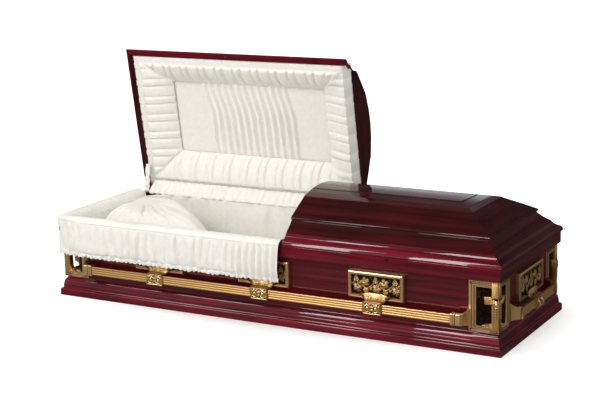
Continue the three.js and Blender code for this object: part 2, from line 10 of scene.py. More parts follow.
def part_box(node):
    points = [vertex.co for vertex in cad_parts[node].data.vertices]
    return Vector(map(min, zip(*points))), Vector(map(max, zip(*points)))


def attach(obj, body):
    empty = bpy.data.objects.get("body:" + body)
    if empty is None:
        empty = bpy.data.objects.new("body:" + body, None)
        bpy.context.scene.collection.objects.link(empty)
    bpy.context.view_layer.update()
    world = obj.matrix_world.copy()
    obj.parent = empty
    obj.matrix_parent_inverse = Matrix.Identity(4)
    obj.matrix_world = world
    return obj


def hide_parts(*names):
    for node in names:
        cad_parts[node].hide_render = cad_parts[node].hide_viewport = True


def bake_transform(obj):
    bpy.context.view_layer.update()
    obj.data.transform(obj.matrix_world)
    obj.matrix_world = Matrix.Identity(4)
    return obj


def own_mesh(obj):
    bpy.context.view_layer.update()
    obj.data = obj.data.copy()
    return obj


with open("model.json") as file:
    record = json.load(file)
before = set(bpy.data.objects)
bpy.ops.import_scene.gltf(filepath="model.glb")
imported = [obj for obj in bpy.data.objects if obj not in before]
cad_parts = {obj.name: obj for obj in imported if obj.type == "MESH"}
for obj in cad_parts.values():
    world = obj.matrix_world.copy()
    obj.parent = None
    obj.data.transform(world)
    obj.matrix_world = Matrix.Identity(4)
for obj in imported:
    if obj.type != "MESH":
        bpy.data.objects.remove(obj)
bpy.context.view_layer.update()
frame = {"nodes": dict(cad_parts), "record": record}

scene = bpy.context.scene

# Camera and studio
# The camera stands where the photograph was taken from. The floor and backdrop are plain and pale, and the
# lacquer mirrors a soft grey room with a few large lamps rather than the bright floor.
VIEW_AZIMUTH, VIEW_ELEVATION, VIEW_ROLL = (math.radians(a) for a in (29.174, 12.719, -1.401))
VIEW_PLACE = Vector((2.9819, -5.3519, 1.8299))
VIEW_LENS = 88.82


def add_camera():
    right = Vector((math.cos(VIEW_AZIMUTH), math.sin(VIEW_AZIMUTH), 0))
    back = Vector((
        math.sin(VIEW_AZIMUTH) * math.cos(VIEW_ELEVATION),
        -math.cos(VIEW_AZIMUTH) * math.cos(VIEW_ELEVATION),
        math.sin(VIEW_ELEVATION),
    ))
    turn = Matrix((right, back.cross(right), back)).transposed() @ Matrix.Rotation(VIEW_ROLL, 3, "Z")
    data = bpy.data.cameras.new("camera")
    data.lens = VIEW_LENS
    data.sensor_width = 36
    camera = bpy.data.objects.new("camera", data)
    camera.matrix_world = Matrix.Translation(VIEW_PLACE) @ turn.to_4x4()
    scene.collection.objects.link(camera)
    scene.camera = camera


def add_lamp(name, place, target, size, watts, colour=(1, 1, 1)):
    data = bpy.data.lights.new(name, "AREA")
    data.shape = "RECTANGLE"
    data.size, data.size_y = size
    data.energy = watts
    data.color = colour
    lamp = bpy.data.objects.new(name, data)
    aim = (Vector(target) - Vector(place)).to_track_quat("-Z", "Y")
    lamp.matrix_world = Matrix.Translation(place) @ aim.to_matrix().to_4x4()
    scene.collection.objects.link(lamp)
    return lamp


def material(name):
    made = bpy.data.materials.new(name)
    made.use_nodes = True
    return made, made.node_tree, made.node_tree.nodes["Principled BSDF"]


def feed(tree, node, inputs):
    """Gives each input of a node its value, or links it to the output that is given."""
    for socket, value in inputs.items():
        if isinstance(value, bpy.types.NodeSocket):
            tree.links.new(value, node.inputs[socket])
        else:
            node.inputs[socket].default_value = value


def add_node(tree, kind, inputs=None, **settings):
    node = tree.nodes.new(f"ShaderNode{kind}")
    for setting, value in settings.items():
        setattr(node, setting, value)
    feed(tree, node, inputs or {})
    return node


def stops_of(ramp, stops):
    elements = ramp.color_ramp.elements
    while len(elements) > 1:
        elements.remove(elements[-1])
    elements[0].position, elements[0].color = stops[0][0], (*stops[0][1], 1)
    for position, colour in stops[1:]:
        elements.new(position).color = (*colour, 1)


def add_world():
    """The room: dim, with a bright low wall behind on the left that the lids mirror. Matt surfaces are lit by
    an even, soft light instead, and the camera sees plain white."""
    world = bpy.data.worlds.new("studio")
    scene.world = world
    world.use_nodes = True
    tree = world.node_tree
    tree.nodes.clear()
    rays = add_node(tree, "LightPath")
    coords = add_node(tree, "TexCoord")
    axes = add_node(tree, "SeparateXYZ", {0: coords.outputs["Generated"]})
    ramp = add_node(tree, "ValToRGB", {0: axes.outputs["Z"]})
    greys = [(position, (value, value * 0.96, value * 1.05)) for position, value in ROOM_STOPS]
    stops_of(ramp, [(0.0, (0.80, 0.80, 0.84)), *greys, (1.0, (0.07, 0.06, 0.07))])
    left = add_node(tree, "MapRange", {
        "Value": axes.outputs["X"], "From Min": -0.12, "From Max": -0.34, "To Min": ROOM_RIGHT, "To Max": 1.0,
    })
    dimmed = add_node(tree, "VectorMath", {0: ramp.outputs[0], "Scale": left.outputs[0]}, operation="SCALE")
    below = add_node(tree, "Math", {0: axes.outputs["Z"], 1: 0}, operation="LESS_THAN")
    choose = add_node(tree, "Mix", {
        "Factor": below.outputs[0], "A": dimmed.outputs[0], "B": (ROOM_BELOW, ROOM_BELOW, ROOM_BELOW, 1),
    }, data_type="RGBA")
    room = add_node(tree, "Background", {"Color": choose.outputs["Result"]})
    soft = add_node(tree, "Background", {"Color": (1.0, 0.99, 0.965, 1), "Strength": ROOM_SOFT})
    white = add_node(tree, "Background", {"Color": (1, 1, 1, 1)})
    lit = add_node(tree, "MixShader", {
        0: rays.outputs["Is Diffuse Ray"], 1: room.outputs[0], 2: soft.outputs[0],
    })
    seen = add_node(tree, "MixShader", {
        0: rays.outputs["Is Camera Ray"], 1: lit.outputs[0], 2: white.outputs[0],
    })
    add_node(tree, "OutputWorld", {0: seen.outputs[0]})


def add_floor():
    """A pale sweep that fades into the white backdrop away from the casket. The lacquer mirrors only an oval
    of light on it, in front."""
    bm = bmesh.new()
    bmesh.ops.create_grid(bm, x_segments=1, y_segments=1, size=70)
    data = bpy.data.meshes.new("floor")
    bm.to_mesh(data)
    bm.free()
    floor = bpy.data.objects.new("floor", data)
    scene.collection.objects.link(floor)
    pale, tree, shader = material("pale floor")
    coords = add_node(tree, "TexCoord")
    oval = add_node(tree, "Mapping", {
        0: coords.outputs["Object"], "Scale": (1 / FLOOR_FADE[0], 1 / FLOOR_FADE[1], 0),
    })
    away = add_node(tree, "VectorMath", {0: oval.outputs[0]}, operation="LENGTH")
    fade = add_node(tree, "MapRange", {
        "Value": away.outputs["Value"], "To Min": FLOOR_GLOW,
    }, interpolation_type="SMOOTHSTEP")
    feed(tree, shader, {
        "Base Color": (0.90, 0.90, 0.90, 1), "Roughness": 0.9, "Specular IOR Level": 0.1,
        "Emission Color": (1, 1, 1, 1), "Emission Strength": fade.outputs[0],
    })
    lit_oval = add_node(tree, "Mapping", {
        0: coords.outputs["Object"], "Location": LIT_PLACE, "Scale": LIT_SIZE,
    }, vector_type="TEXTURE")
    lit_away = add_node(tree, "VectorMath", {0: lit_oval.outputs[0]}, operation="LENGTH")
    glow = add_node(tree, "MapRange", {
        "Value": lit_away.outputs["Value"], "From Min": MIRRORED_AWAY[0], "From Max": MIRRORED_AWAY[1],
        "To Min": MIRRORED_FLOOR[0], "To Max": MIRRORED_FLOOR[1],
    }, interpolation_type="SMOOTHSTEP")
    mirrored = add_node(tree, "Emission", {"Strength": glow.outputs[0]})
    rays = add_node(tree, "LightPath")
    either = add_node(tree, "MixShader", {
        0: rays.outputs["Is Glossy Ray"], 1: shader.outputs[0], 2: mirrored.outputs[0],
    })
    feed(tree, tree.nodes["Material Output"], {0: either.outputs[0]})
    data.materials.append(pale)
    floor.visible_diffuse = False


ROOM_STOPS = ((0.22, 0.78), (0.34, 0.40), (0.46, 0.16), (0.70, 0.09))
ROOM_RIGHT, ROOM_BELOW, ROOM_SOFT = 0.16, 0.08, 0.46
FLOOR_FADE = (2.6, 1.9)
FLOOR_GLOW = 0.12
LIT_PLACE, LIT_SIZE = (0, -0.75, 0), (1.9, 0.55, 1)
MIRRORED_AWAY, MIRRORED_FLOOR = (0.6, 1.3), (0.27, 0.03)
scene.view_settings.view_transform = "Standard"
add_camera()
add_world()
add_floor()
add_lamp("key", (-2.9, -3.0, 3.3), (0, 0, 0.3), (1.3, 1.3), 84, (1.0, 0.985, 0.96))
add_lamp("foot side", (4.2, -1.2, 2.2), (0.6, 0, 0.3), (1.6, 1.6), 22)
for lamp in (
    add_lamp("overhead", (0.2, -0.4, 3.8), (0, 0, 0.3), (3.4, 1.8), 36),
    add_lamp("front fill", (0.4, -4.6, 0.9), (-0.3, 0.3, 0.7), (3.0, 1.6), 58),
):
    lamp.visible_glossy = False
for lamp in (
    add_lamp("left softbox", (-1.02, -2.5, 1.75), (-0.6, -0.34, 0.5), (0.36, 2.1), 34),
    add_lamp("foot card", (3.2, 1.6, 0.5), (1.08, 0, 0.2), (1.6, 1.0), 6),
    add_lamp("right softbox", (-0.26, -2.5, 1.75), (0.15, -0.34, 0.5), (0.34, 2.1), 34),
):
    lamp.visible_diffuse = False

# Lacquered wood
# Mahogany stained a deep red, with a fine straight grain, under several coats of polished clear lacquer. The
# grain runs along each board; on the open lid it is turned with the lid.


GRAIN_LONG, GRAIN_FINE = 1.6, 46


def mahogany(name, along, tilt=0.0, red=1.0):
    """along is the axis of the grain, tilt turns the pattern with an open lid, and red scales the red of the
    stain: partly how strong the stain is, and partly painted shade and light that make some copies darker or
    redder."""
    made, tree, shader = material(name)
    coords = add_node(tree, "TexCoord")
    turn = add_node(tree, "Mapping", {0: coords.outputs["Object"], "Rotation": (tilt, 0, 0)})
    scale = [GRAIN_LONG if axis == along else GRAIN_FINE for axis in "xyz"]
    stretch = add_node(tree, "Mapping", {0: turn.outputs[0], "Scale": scale})
    fibre = add_node(tree, "TexNoise", {
        "Vector": stretch.outputs[0], "Scale": 1.0, "Detail": 8, "Roughness": 0.62, "Distortion": 0.35,
    })
    cloud = add_node(tree, "TexNoise", {"Vector": turn.outputs[0], "Scale": 3.2, "Detail": 3})
    blend = add_node(tree, "Math", {
        0: cloud.outputs[0], 1: 0.45, 2: fibre.outputs[0],
    }, operation="MULTIPLY_ADD")
    ramp = add_node(tree, "ValToRGB", {0: blend.outputs[0]})
    stops_of(ramp, [
        (0.40, (0.016 * red, 0.0006, 0.0016 * red)),
        (0.62, (0.050 * red, 0.0016, 0.0042 * red)),
        (0.78, (0.090 * red, 0.0026, 0.0070 * red)),
        (0.95, (0.140 * red, 0.0042, 0.0100 * red)),
    ])
    pores = add_node(tree, "Bump", {"Strength": 0.05, "Distance": 0.0006, "Height": fibre.outputs[0]})
    feed(tree, shader, {
        "Base Color": ramp.outputs[0], "Normal": pores.outputs[0], "Roughness": 0.42,
        "Specular IOR Level": 0.05, "Coat Weight": 1.0, "Coat Roughness": 0.03, "Coat IOR": 1.40,
    })
    return made


hinges = {joint["name"]: joint for joint in frame["record"]["behaviour"]["joints"]}
HINGE_LINE = Vector(hinges["head_lid_hinge"]["pos_m"])
OPEN_ANGLE = math.radians(hinges["head_lid_hinge"]["range_deg"][1])
OPENED = (
    Matrix.Translation(HINGE_LINE)
    @ Matrix.Rotation(-OPEN_ANGLE, 4, "X")
    @ Matrix.Translation(-HINGE_LINE)
)

wood_along = mahogany("mahogany along", "x")
wood_across = mahogany("mahogany across", "y")
# The crown copies are painted darker, as painted shade for the dim room that the crown mirrors.
crown_along = mahogany("mahogany crown along", "x", red=0.55)
crown_across = mahogany("mahogany crown across", "y", red=0.55)
crown_lid_along = mahogany("mahogany open crown along", "x", OPEN_ANGLE, red=0.55)
crown_lid_across = mahogany("mahogany open crown across", "y", OPEN_ANGLE, red=0.55)
# The moulding copies are redder, partly a stronger stain and partly painted light; the front and back ones
# are redder than the end ones, as painted light and shade.
moulded_along = mahogany("mahogany moulding along", "x", red=1.7)
moulded_across = mahogany("mahogany moulding across", "y", red=1.0)
moulded_lid_along = mahogany("mahogany open lid moulding along", "x", OPEN_ANGLE, red=1.5)


def new_piece(name, bm, *materials, smooth=32):
    """Makes the object of a bmesh, smooth but for edges sharper than smooth degrees."""
    data = bpy.data.meshes.new(name)
    bm.to_mesh(data)
    bm.free()
    for each in materials:
        data.materials.append(each)
    data.polygons.foreach_set("use_smooth", [True] * len(data.polygons))
    data.set_sharp_from_angle(angle=math.radians(smooth))
    piece = bpy.data.objects.new(name, data)
    scene.collection.objects.link(piece)
    return piece


def bevelled(piece, width):
    bevel = piece.modifiers.new("edges", "BEVEL")
    bevel.width = width
    bevel.segments = 2
    bevel.limit_method = "ANGLE"
    bevel.angle_limit = math.radians(28)
    bevel.harden_normals = True
    return piece


def arc(start, control, end, steps):
    """Points of a smooth bend in a profile, without the last one."""
    points = []
    for i in range(steps):
        t = i / steps
        points.append(tuple(
            (1 - t) ** 2 * a + 2 * t * (1 - t) * b + t * t * c for a, b, c in zip(start, control, end)
        ))
    return points


def span(*nodes):
    boxes = [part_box(node) for node in nodes]
    low = [min(box[0][i] for box in boxes) for i in range(3)]
    high = [max(box[1][i] for box in boxes) for i in range(3)]
    return Vector(low), Vector(high)


SIDES = ("front", "back", "head", "foot")


def moulding(profile, side, half, squares=(None, None)):
    """A moulding along one side of a rectangle of half sizes. The profile is (inset, height), and an end is
    mitred unless its place along the side is given in squares."""
    bm = bmesh.new()
    start = [bm.verts.new((inset, 0, height)) for inset, height in profile]
    face = bm.faces.new(start)
    grown = bmesh.ops.extrude_face_region(bm, geom=[face])["geom"]
    for vert in (each for each in grown if isinstance(each, bmesh.types.BMVert)):
        vert.co.y = 1
    lengthwise = side in ("front", "back")
    run, across = (half[0], half[1]) if lengthwise else (half[1], half[0])
    sign = -1 if side in ("front", "head") else 1
    for vert in bm.verts:
        inset, end, height = vert.co
        square = squares[round(end)]
        along = (2 * end - 1) * (run - inset - 0.0002) if square is None else square
        out = sign * (across - inset)
        vert.co = (along, out, height) if lengthwise else (out, along, height)
    bmesh.ops.recalc_face_normals(bm, faces=bm.faces)
    return bm


# Plinth
# Four mitred mouldings glued round the bottom board: a square block at the floor, a bead, and an ogee that
# runs up to the walls.
plinth_high = span(*(f"plinth_moulding_{side}" for side in SIDES))[1]
PLINTH = (plinth_high.x, plinth_high.y)
PLINTH_TOP = plinth_high.z
plinth_profile = [
    (0.060, 0), (0.0, 0),
    *arc((0, 0.024), (0, 0.030), (0.005, 0.031), 4),
    *arc((0.005, 0.031), (0.010, 0.033), (0.011, 0.039), 4),
    *arc((0.011, 0.039), (0.0095, 0.045), (0.011, 0.051), 5),
    *arc((0.0125, 0.052), (0.013, 0.067), (0.020, 0.073), 8),
    (0.0205, 0.0735), (0.0225, 0.0765),
    *arc((0.0225, 0.0765), (0.0265, 0.078), (0.027, PLINTH_TOP), 4),
    (0.027, PLINTH_TOP), (0.060, PLINTH_TOP),
]
for side in SIDES:
    wood = moulded_along if side in ("front", "back") else moulded_across
    plinth = new_piece(f"plinth_{side}", moulding(plinth_profile, side, PLINTH), wood)
    bevelled(plinth, 0.0008)
    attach(plinth, "root")
    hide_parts(f"plinth_moulding_{side}")

# Box
# The walls are flat boards, mitred at the slanting corners, and the bottom board closes the plinth. They keep
# their shape and take the lacquer.


def paint(node, *materials):
    slots = frame["nodes"][node].data.materials
    slots.clear()
    for each in materials:
        slots.append(each)


for node in ("side_board_front", "side_board_back", "bottom_board"):
    paint(node, wood_along)
for node in ("end_board_head", "end_board_foot"):
    paint(node, wood_across)
for end in ("head", "foot"):
    for side in ("front", "back"):
        paint(f"corner_board_{end}_{side}", wood_across)

# Rim
# Four mitred rails on top of the walls, with a small rounding at both outer edges.
rim_low, rim_high = span(*(f"rim_rail_{side}" for side in SIDES))
RIM = (rim_high.x, rim_high.y)
RIM_TOP = rim_high.z
RIM_WIDE = rim_high.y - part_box("rim_rail_back")[0][1]
rim_profile = [
    (RIM_WIDE, rim_low.z), (0.004, rim_low.z),
    *arc((0.004, rim_low.z), (0, rim_low.z), (0, rim_low.z + 0.005), 5),
    *arc((0, RIM_TOP - 0.003), (0, RIM_TOP), (0.003, RIM_TOP), 4),
    (0.003, RIM_TOP), (RIM_WIDE, RIM_TOP),
]
for side in SIDES:
    wood = moulded_along if side in ("front", "back") else moulded_across
    rail = new_piece(f"rim_{side}", moulding(rim_profile, side, RIM), wood)
    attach(rail, "root")
    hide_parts(f"rim_rail_{side}")

# Lids
# Each lid is an ogee moulding on three sides, a curved crown with a raised panel on top, and a header board
# that closes the cut end. The foot lid is shut; the head lid is its longer mirror image and stands open.
LID_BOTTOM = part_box("foot_lid_front_moulding")[0][2]
LID_RAIL_WIDE = 0.022
LIP = 0.0075
LIP_REBATE = 0.0026
CROWN_THICK = 0.010
HEADER_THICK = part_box("foot_lid_header")[1][0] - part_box("foot_lid_header")[0][0]
HEADER_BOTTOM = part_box("foot_lid_header")[0][2]
FOOT_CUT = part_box("foot_lid_crown")[0][0]
HEAD_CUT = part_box("head_lid_crown")[1][0]


def raised(profile):
    return [(inset, LID_BOTTOM + height) for inset, height in profile]


def moulding_profile(bottom):
    """The lid's lower moulding: a lip over the rim, a rounded edge, a slope, a bevel and the back."""
    return raised([
        *bottom,
        *arc((-LIP, 0.003), (-LIP, 0.0035), (-0.0072, 0.0045), 2),
        *arc((-0.0072, 0.0045), (-0.0045, 0.018), (0.006, 0.0215), 10),
        (0.006, 0.0215), (0.0205, 0.0295), (0.0215, 0.0315), (0.0315, 0.0430),
        (0.045, 0.043), (0.045, 0.030), (LID_RAIL_WIDE, 0.020),
    ])


moulding_profiles = {
    "front": moulding_profile([(LID_RAIL_WIDE, 0), (-LIP, 0)]),
    "back": moulding_profile([(LID_RAIL_WIDE, 0), (0, 0), (0, LIP_REBATE), (-LIP, LIP_REBATE)]),
}
crown_profile = raised([
    (0.033, 0.0434), (0.033, 0.0455),
    *arc((0.034, 0.0468), (0.062, 0.066), (0.0785, 0.0875), 12),
    (0.0785, 0.0875),
    *arc((0.0745, 0.0905), (0.0715, 0.0930), (0.0722, 0.0965), 5),
    *arc((0.0722, 0.0965), (0.0735, 0.0995), (0.077, 0.1010), 5),
    *arc((0.077, 0.1010), (0.130, 0.132), (0.184, 0.1595), 18),
    (0.184, 0.1595), (0.187, 0.163),
    *arc((0.1875, 0.1635), (0.224, 0.1735), (0.262, 0.1805), 6),
    (0.262, 0.1805), (0.264, 0.1823),
    *arc((0.2645, 0.1825), (0.305, 0.1868), (0.340, 0.188), 6),
    (0.340, 0.188),
])


def crown(cut):
    """The crown's outer surface, square at the cut and hipped at the far end; material 1 is on the hip."""
    bm = bmesh.new()
    line = [bm.verts.new((inset, 0, height)) for inset, height in crown_profile]
    edges = [bm.edges.new(pair) for pair in zip(line, line[1:])]
    for station in (1, 2, 3):
        grown = bmesh.ops.extrude_edge_only(bm, edges=edges)["geom"]
        for vert in (each for each in grown if isinstance(each, bmesh.types.BMVert)):
            vert.co.y = station
        edges = [
            each for each in grown
            if isinstance(each, bmesh.types.BMEdge) and all(v.co.y == station for v in each.verts)
        ]
    for face in bm.faces:
        face.material_index = 1 if all(0.5 < v.co.y < 2.5 for v in face.verts) else 0
    for vert in bm.verts:
        inset, station, height = vert.co
        x = cut if station in (0, 3) else RIM[0] - inset
        y = (RIM[1] - inset) * (-1 if station < 1.5 else 1)
        vert.co = (x, y, height)
    bmesh.ops.remove_doubles(bm, verts=bm.verts, dist=0.00001)
    bmesh.ops.recalc_face_normals(bm, faces=bm.faces)
    if max(bm.faces, key=lambda f: f.calc_center_median().z).normal.z < 0:
        bmesh.ops.reverse_faces(bm, faces=bm.faces)
    bmesh.ops.solidify(bm, geom=bm.faces, thickness=CROWN_THICK)
    return bm


def header(cut):
    """A board that fills the arch of the cut end, rounded off inside the crown."""
    arch = [
        (inset - RIM[1] + 0.0084, height - 0.0104) for inset, height in crown_profile
        if inset < 0.0786 and height < LID_BOTTOM + 0.0876 or inset > 0.0795
    ]
    arch = [(y, z) for y, z in arch if z > HEADER_BOTTOM + 0.001 and y < 0]
    outline = [(arch[0][0], HEADER_BOTTOM), *arch, (0, arch[-1][1])]
    outline += [(-y, z) for y, z in reversed(outline[:-1])]
    bm = bmesh.new()
    face = bm.faces.new([bm.verts.new((cut, y, z)) for y, z in outline])
    grown = bmesh.ops.extrude_face_region(bm, geom=[face])["geom"]
    for vert in (each for each in grown if isinstance(each, bmesh.types.BMVert)):
        vert.co.x += HEADER_THICK
    bmesh.ops.recalc_face_normals(bm, faces=bm.faces)
    return bm


def mirror_and_open(bm):
    """Turns a piece of the foot lid into one of the open head lid."""
    bmesh.ops.scale(bm, vec=(-1, 1, 1), verts=bm.verts)
    bmesh.ops.reverse_faces(bm, faces=bm.faces)
    bmesh.ops.transform(bm, matrix=OPENED, verts=bm.verts)
    return bm


for lid, cut in (("foot_lid", FOOT_CUT), ("head_lid", -HEAD_CUT)):
    is_head = lid == "head_lid"
    along, across = (crown_lid_along, crown_lid_across) if is_head else (crown_along, crown_across)
    moulded = moulded_lid_along if is_head else moulded_along
    made = {
        "front_moulding": (moulding(moulding_profiles["front"], "front", RIM, (cut, None)), moulded),
        "back_moulding": (moulding(moulding_profiles["back"], "back", RIM, (cut, None)), moulded),
        "end_moulding": (moulding(moulding_profiles["front"], "foot", RIM), across),
        "crown": (crown(cut), along),
        "header": (header(cut), across),
    }
    for part, (bm, wood) in made.items():
        if is_head:
            mirror_and_open(bm)
        wood_list = (wood, across) if part == "crown" else (wood,)
        piece = new_piece(f"{lid}_{part}_fine", bm, *wood_list, smooth=18 if part == "crown" else 32)
        if part.endswith("moulding"):
            bevelled(piece, 0.0008)
        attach(piece, lid)
        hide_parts(f"{lid}_{part}")

# Satin
# The linings, the pillow and the apron are ivory satin crepe. Its threads follow each sheet, and it is soft
# enough to catch light along every fold.


def satin(name):
    """Crepe whose threads follow the sheet, with small rumples all over that are painted a little darker in
    their hollows, as painted shade.
    """
    made, tree, shader = material(name)
    thread = add_node(tree, "UVMap", uv_map="threads")
    grain = add_node(tree, "Mapping", {0: thread.outputs[0], "Scale": (620, 260, 1)})
    crepe = add_node(tree, "TexNoise", {
        "Vector": grain.outputs[0], "Scale": 1, "Detail": 4, "Roughness": 0.6,
    })
    coords = add_node(tree, "TexCoord")
    rumple = add_node(tree, "TexNoise", {"Vector": coords.outputs["Object"], "Scale": 60, "Detail": 5})
    # The tone comes from the rumple height: painted shade that darkens the hollows of the rumples.
    tone = add_node(tree, "ValToRGB", {0: rumple.outputs[0]})
    stops_of(tone, [(0.3, (0.84, 0.815, 0.76)), (0.7, (0.885, 0.87, 0.825))])
    weave = add_node(tree, "Bump", {"Strength": 0.10, "Distance": 0.0006, "Height": crepe.outputs[0]})
    crease = add_node(tree, "Bump", {
        "Strength": 0.10, "Distance": 0.0030, "Height": rumple.outputs[0], "Normal": weave.outputs[0],
    })
    feed(tree, shader, {
        "Base Color": tone.outputs[0], "Normal": crease.outputs[0], "Roughness": 0.52,
        "Specular IOR Level": 0.35, "Sheen Weight": 0.25, "Sheen Roughness": 0.4,
    })
    return made


ivory = satin("ivory satin")
CLOTH_THICK = 0.0012


def cloth(name, columns, rows, place, size, merge=False, bm_only=False):
    """A sheet of satin: place gives the point for a share along and a share across, and size is its extent
    in metres."""
    bm = bmesh.new()
    bmesh.ops.create_grid(bm, x_segments=columns, y_segments=rows, size=0.5)
    threads = bm.loops.layers.uv.new("threads")
    for face in bm.faces:
        for loop in face.loops:
            loop[threads].uv = ((loop.vert.co.x + 0.5) * size[0], (loop.vert.co.y + 0.5) * size[1])
    for vert in bm.verts:
        vert.co = place(vert.co.x + 0.5, vert.co.y + 0.5)
    if merge:
        bmesh.ops.remove_doubles(bm, verts=bm.verts, dist=0.0004)
    if bm_only:
        return bm
    return sheet_piece(name, bm)


def sheet_piece(name, bm):
    piece = new_piece(name, bm, ivory, smooth=60)
    wall = piece.modifiers.new("cloth", "SOLIDIFY")
    wall.thickness = CLOTH_THICK
    wall.offset = 0
    return piece


def ridge(value, soft=0.06):
    return 1 - 2 * math.sqrt(value * value + soft * soft)


def ruffle(along, down, seed):
    """Height of gathered cloth, about -1 to 1: uneven ridges that run down the sheet, wander and fork."""
    drift = 0.030 * noise.noise(Vector((along * 7, down * 8, seed)))
    wide = noise.noise(Vector(((along + drift) * 19, down * 4.5, seed + 7)))
    narrow = noise.noise(Vector(((along + 1.7 * drift) * 36, down * 8, seed + 13)))
    crumple = noise.noise(Vector((along * 60, down * 55, seed + 21)))
    return 0.75 * ridge(wide, 0.03) + 0.46 * ridge(narrow, 0.05) + 0.20 * crumple


def smooth_line(points):
    """A smooth curve through points; gives the point at a share of the way along them."""
    ends = [points[0], *points, points[-1]]

    def at(share):
        place = min(max(share, 0), 1) * (len(points) - 1)
        i = min(int(place), len(points) - 2)
        t = place - i
        a, b, c, d = ends[i : i + 4]
        return tuple(
            0.5 * (2 * q + (r - p) * t + (2 * p - 5 * q + 4 * r - s) * t * t + (3 * q - p - 3 * r + s) * t**3)
            for p, q, r, s in zip(a, b, c, d)
        )

    return at


def between(low, high, share):
    return low + (high - low) * share


def ease(low, high, value):
    share = min(max((value - low) / (high - low), 0), 1)
    return share * share * (3 - 2 * share)


# Box lining
# Gathered satin is tacked along the top of the walls and falls to the mattress on all eight sides.
WALL = (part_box("end_board_foot")[1][0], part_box("side_board_back")[1][1])
WALL_CORNER = WALL[0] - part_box("side_board_front")[1][0]
BED_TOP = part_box("mattress")[1][2]


def wall_line(inside):
    """Plan of the walls at a distance inside them, with rounded corners and its first point repeated."""
    cut = WALL_CORNER - inside * (2 - math.sqrt(2))
    x, y = WALL[0] - inside, WALL[1] - inside
    corners = [(x, -y + cut), (x, y - cut), (x - cut, y), (-x + cut, y), (-x, y - cut), (-x, -y + cut)]
    corners = [Vector(p) for p in (*corners, (-x + cut, -y), (x - cut, -y))]
    rounding = 0.05
    line = []
    for i, here in enumerate(corners):
        before, after = corners[i - 1], corners[(i + 1) % len(corners)]
        start = here + (before - here).normalized() * rounding
        end = here + (after - here).normalized() * rounding
        line += [Vector(p) for p in arc(start, here, end, 5)] + [end]
    return [*line, line[0]]


def track(line):
    """Gives the point and the direction of travel at a share of a line's length, and the length."""
    legs = [(b - a).length for a, b in zip(line, line[1:])]
    total = sum(legs)

    def at(share):
        left = share * total
        for i, length in enumerate(legs):
            if left <= length or i == len(legs) - 1:
                run = (line[i + 1] - line[i]).normalized()
                return line[i] + run * min(left, length), run
            left -= length

    return at, total


lining_at, lining_round = track(wall_line(0.0275))
LINING_LOW = BED_TOP - 0.040
LINING_TALL = RIM_TOP - 0.002 - LINING_LOW


def lining_place(u, v):
    point, run = lining_at(u)
    inward = Vector((-run.y, run.x))
    turn = min(u, 1 - u)
    fade = ease(0, 0.01, turn)
    depth = 0.0105 * ruffle(u * lining_round, v * LINING_TALL, 3) * fade * ease(-0.1, 0.3, v)
    belly = 0.003 * math.sin(math.pi * v)
    x, y = point + inward * (depth + belly)
    return Vector((x, y, between(LINING_LOW, RIM_TOP - 0.0015, v)))


box_lining = cloth("box_lining_cloth", 520, 18, lining_place, (lining_round, LINING_TALL), merge=True)
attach(box_lining, "root")
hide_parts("box_lining")

# Mattress
# A sprung bed covered in the same satin, gathered across, with a soft edge all round.
MATTRESS_INSET = 0.038
MATTRESS_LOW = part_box("mattress")[0][2]


def make_mattress():
    """The cover's top is a grid squeezed into the plan; its sides drop from it to the bottom board."""
    bm = bmesh.new()
    half_x, half_y = WALL[0] - MATTRESS_INSET, WALL[1] - MATTRESS_INSET
    bmesh.ops.create_grid(bm, x_segments=230, y_segments=70, size=0.5)
    cut = WALL_CORNER - MATTRESS_INSET * (2 - math.sqrt(2))
    for vert in bm.verts:
        a, b = 2 * vert.co.x, 2 * vert.co.y
        over = max(abs(a) * half_x + abs(b) * half_y - (half_x + half_y - cut), 0) / 2
        vert.co = (a * (half_x - over), b * (half_y - over), 0)
        rim_near = min((1 - max(abs(a), abs(b))) * 7, 1)
        folds = 0.0035 * ruffle(a * half_x, b * half_y * 0.8, 41)
        vert.co.z = BED_TOP - 0.0035 - 0.014 * (1 - rim_near) ** 2 + folds * rim_near
    rim = [edge for edge in bm.edges if edge.is_boundary]
    for drop in (0.030, 0.075, BED_TOP - 0.018 - MATTRESS_LOW):
        grown = bmesh.ops.extrude_edge_only(bm, edges=rim)["geom"]
        for vert in (each for each in grown if isinstance(each, bmesh.types.BMVert)):
            vert.co.z = BED_TOP - 0.018 - drop
        rim = [each for each in grown if isinstance(each, bmesh.types.BMEdge) and each.is_boundary]
    bmesh.ops.contextual_create(bm, geom=rim)
    threads = bm.loops.layers.uv.new("threads")
    for face in bm.faces:
        for loop in face.loops:
            loop[threads].uv = (loop.vert.co.x, loop.vert.co.y + loop.vert.co.z)
    bmesh.ops.recalc_face_normals(bm, faces=bm.faces)
    return new_piece("mattress_cover", bm, ivory, smooth=60)


mattress = make_mattress()
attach(mattress, "root")
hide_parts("mattress")

# Pillow
# A big soft cushion of satin at the head end. Its foot side slants to the back, and creases run from its
# gathered head side.
PILLOW_LOW, PILLOW_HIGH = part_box("pillow")
PILLOW_LONG, PILLOW_SLANT = 0.755, 0.742


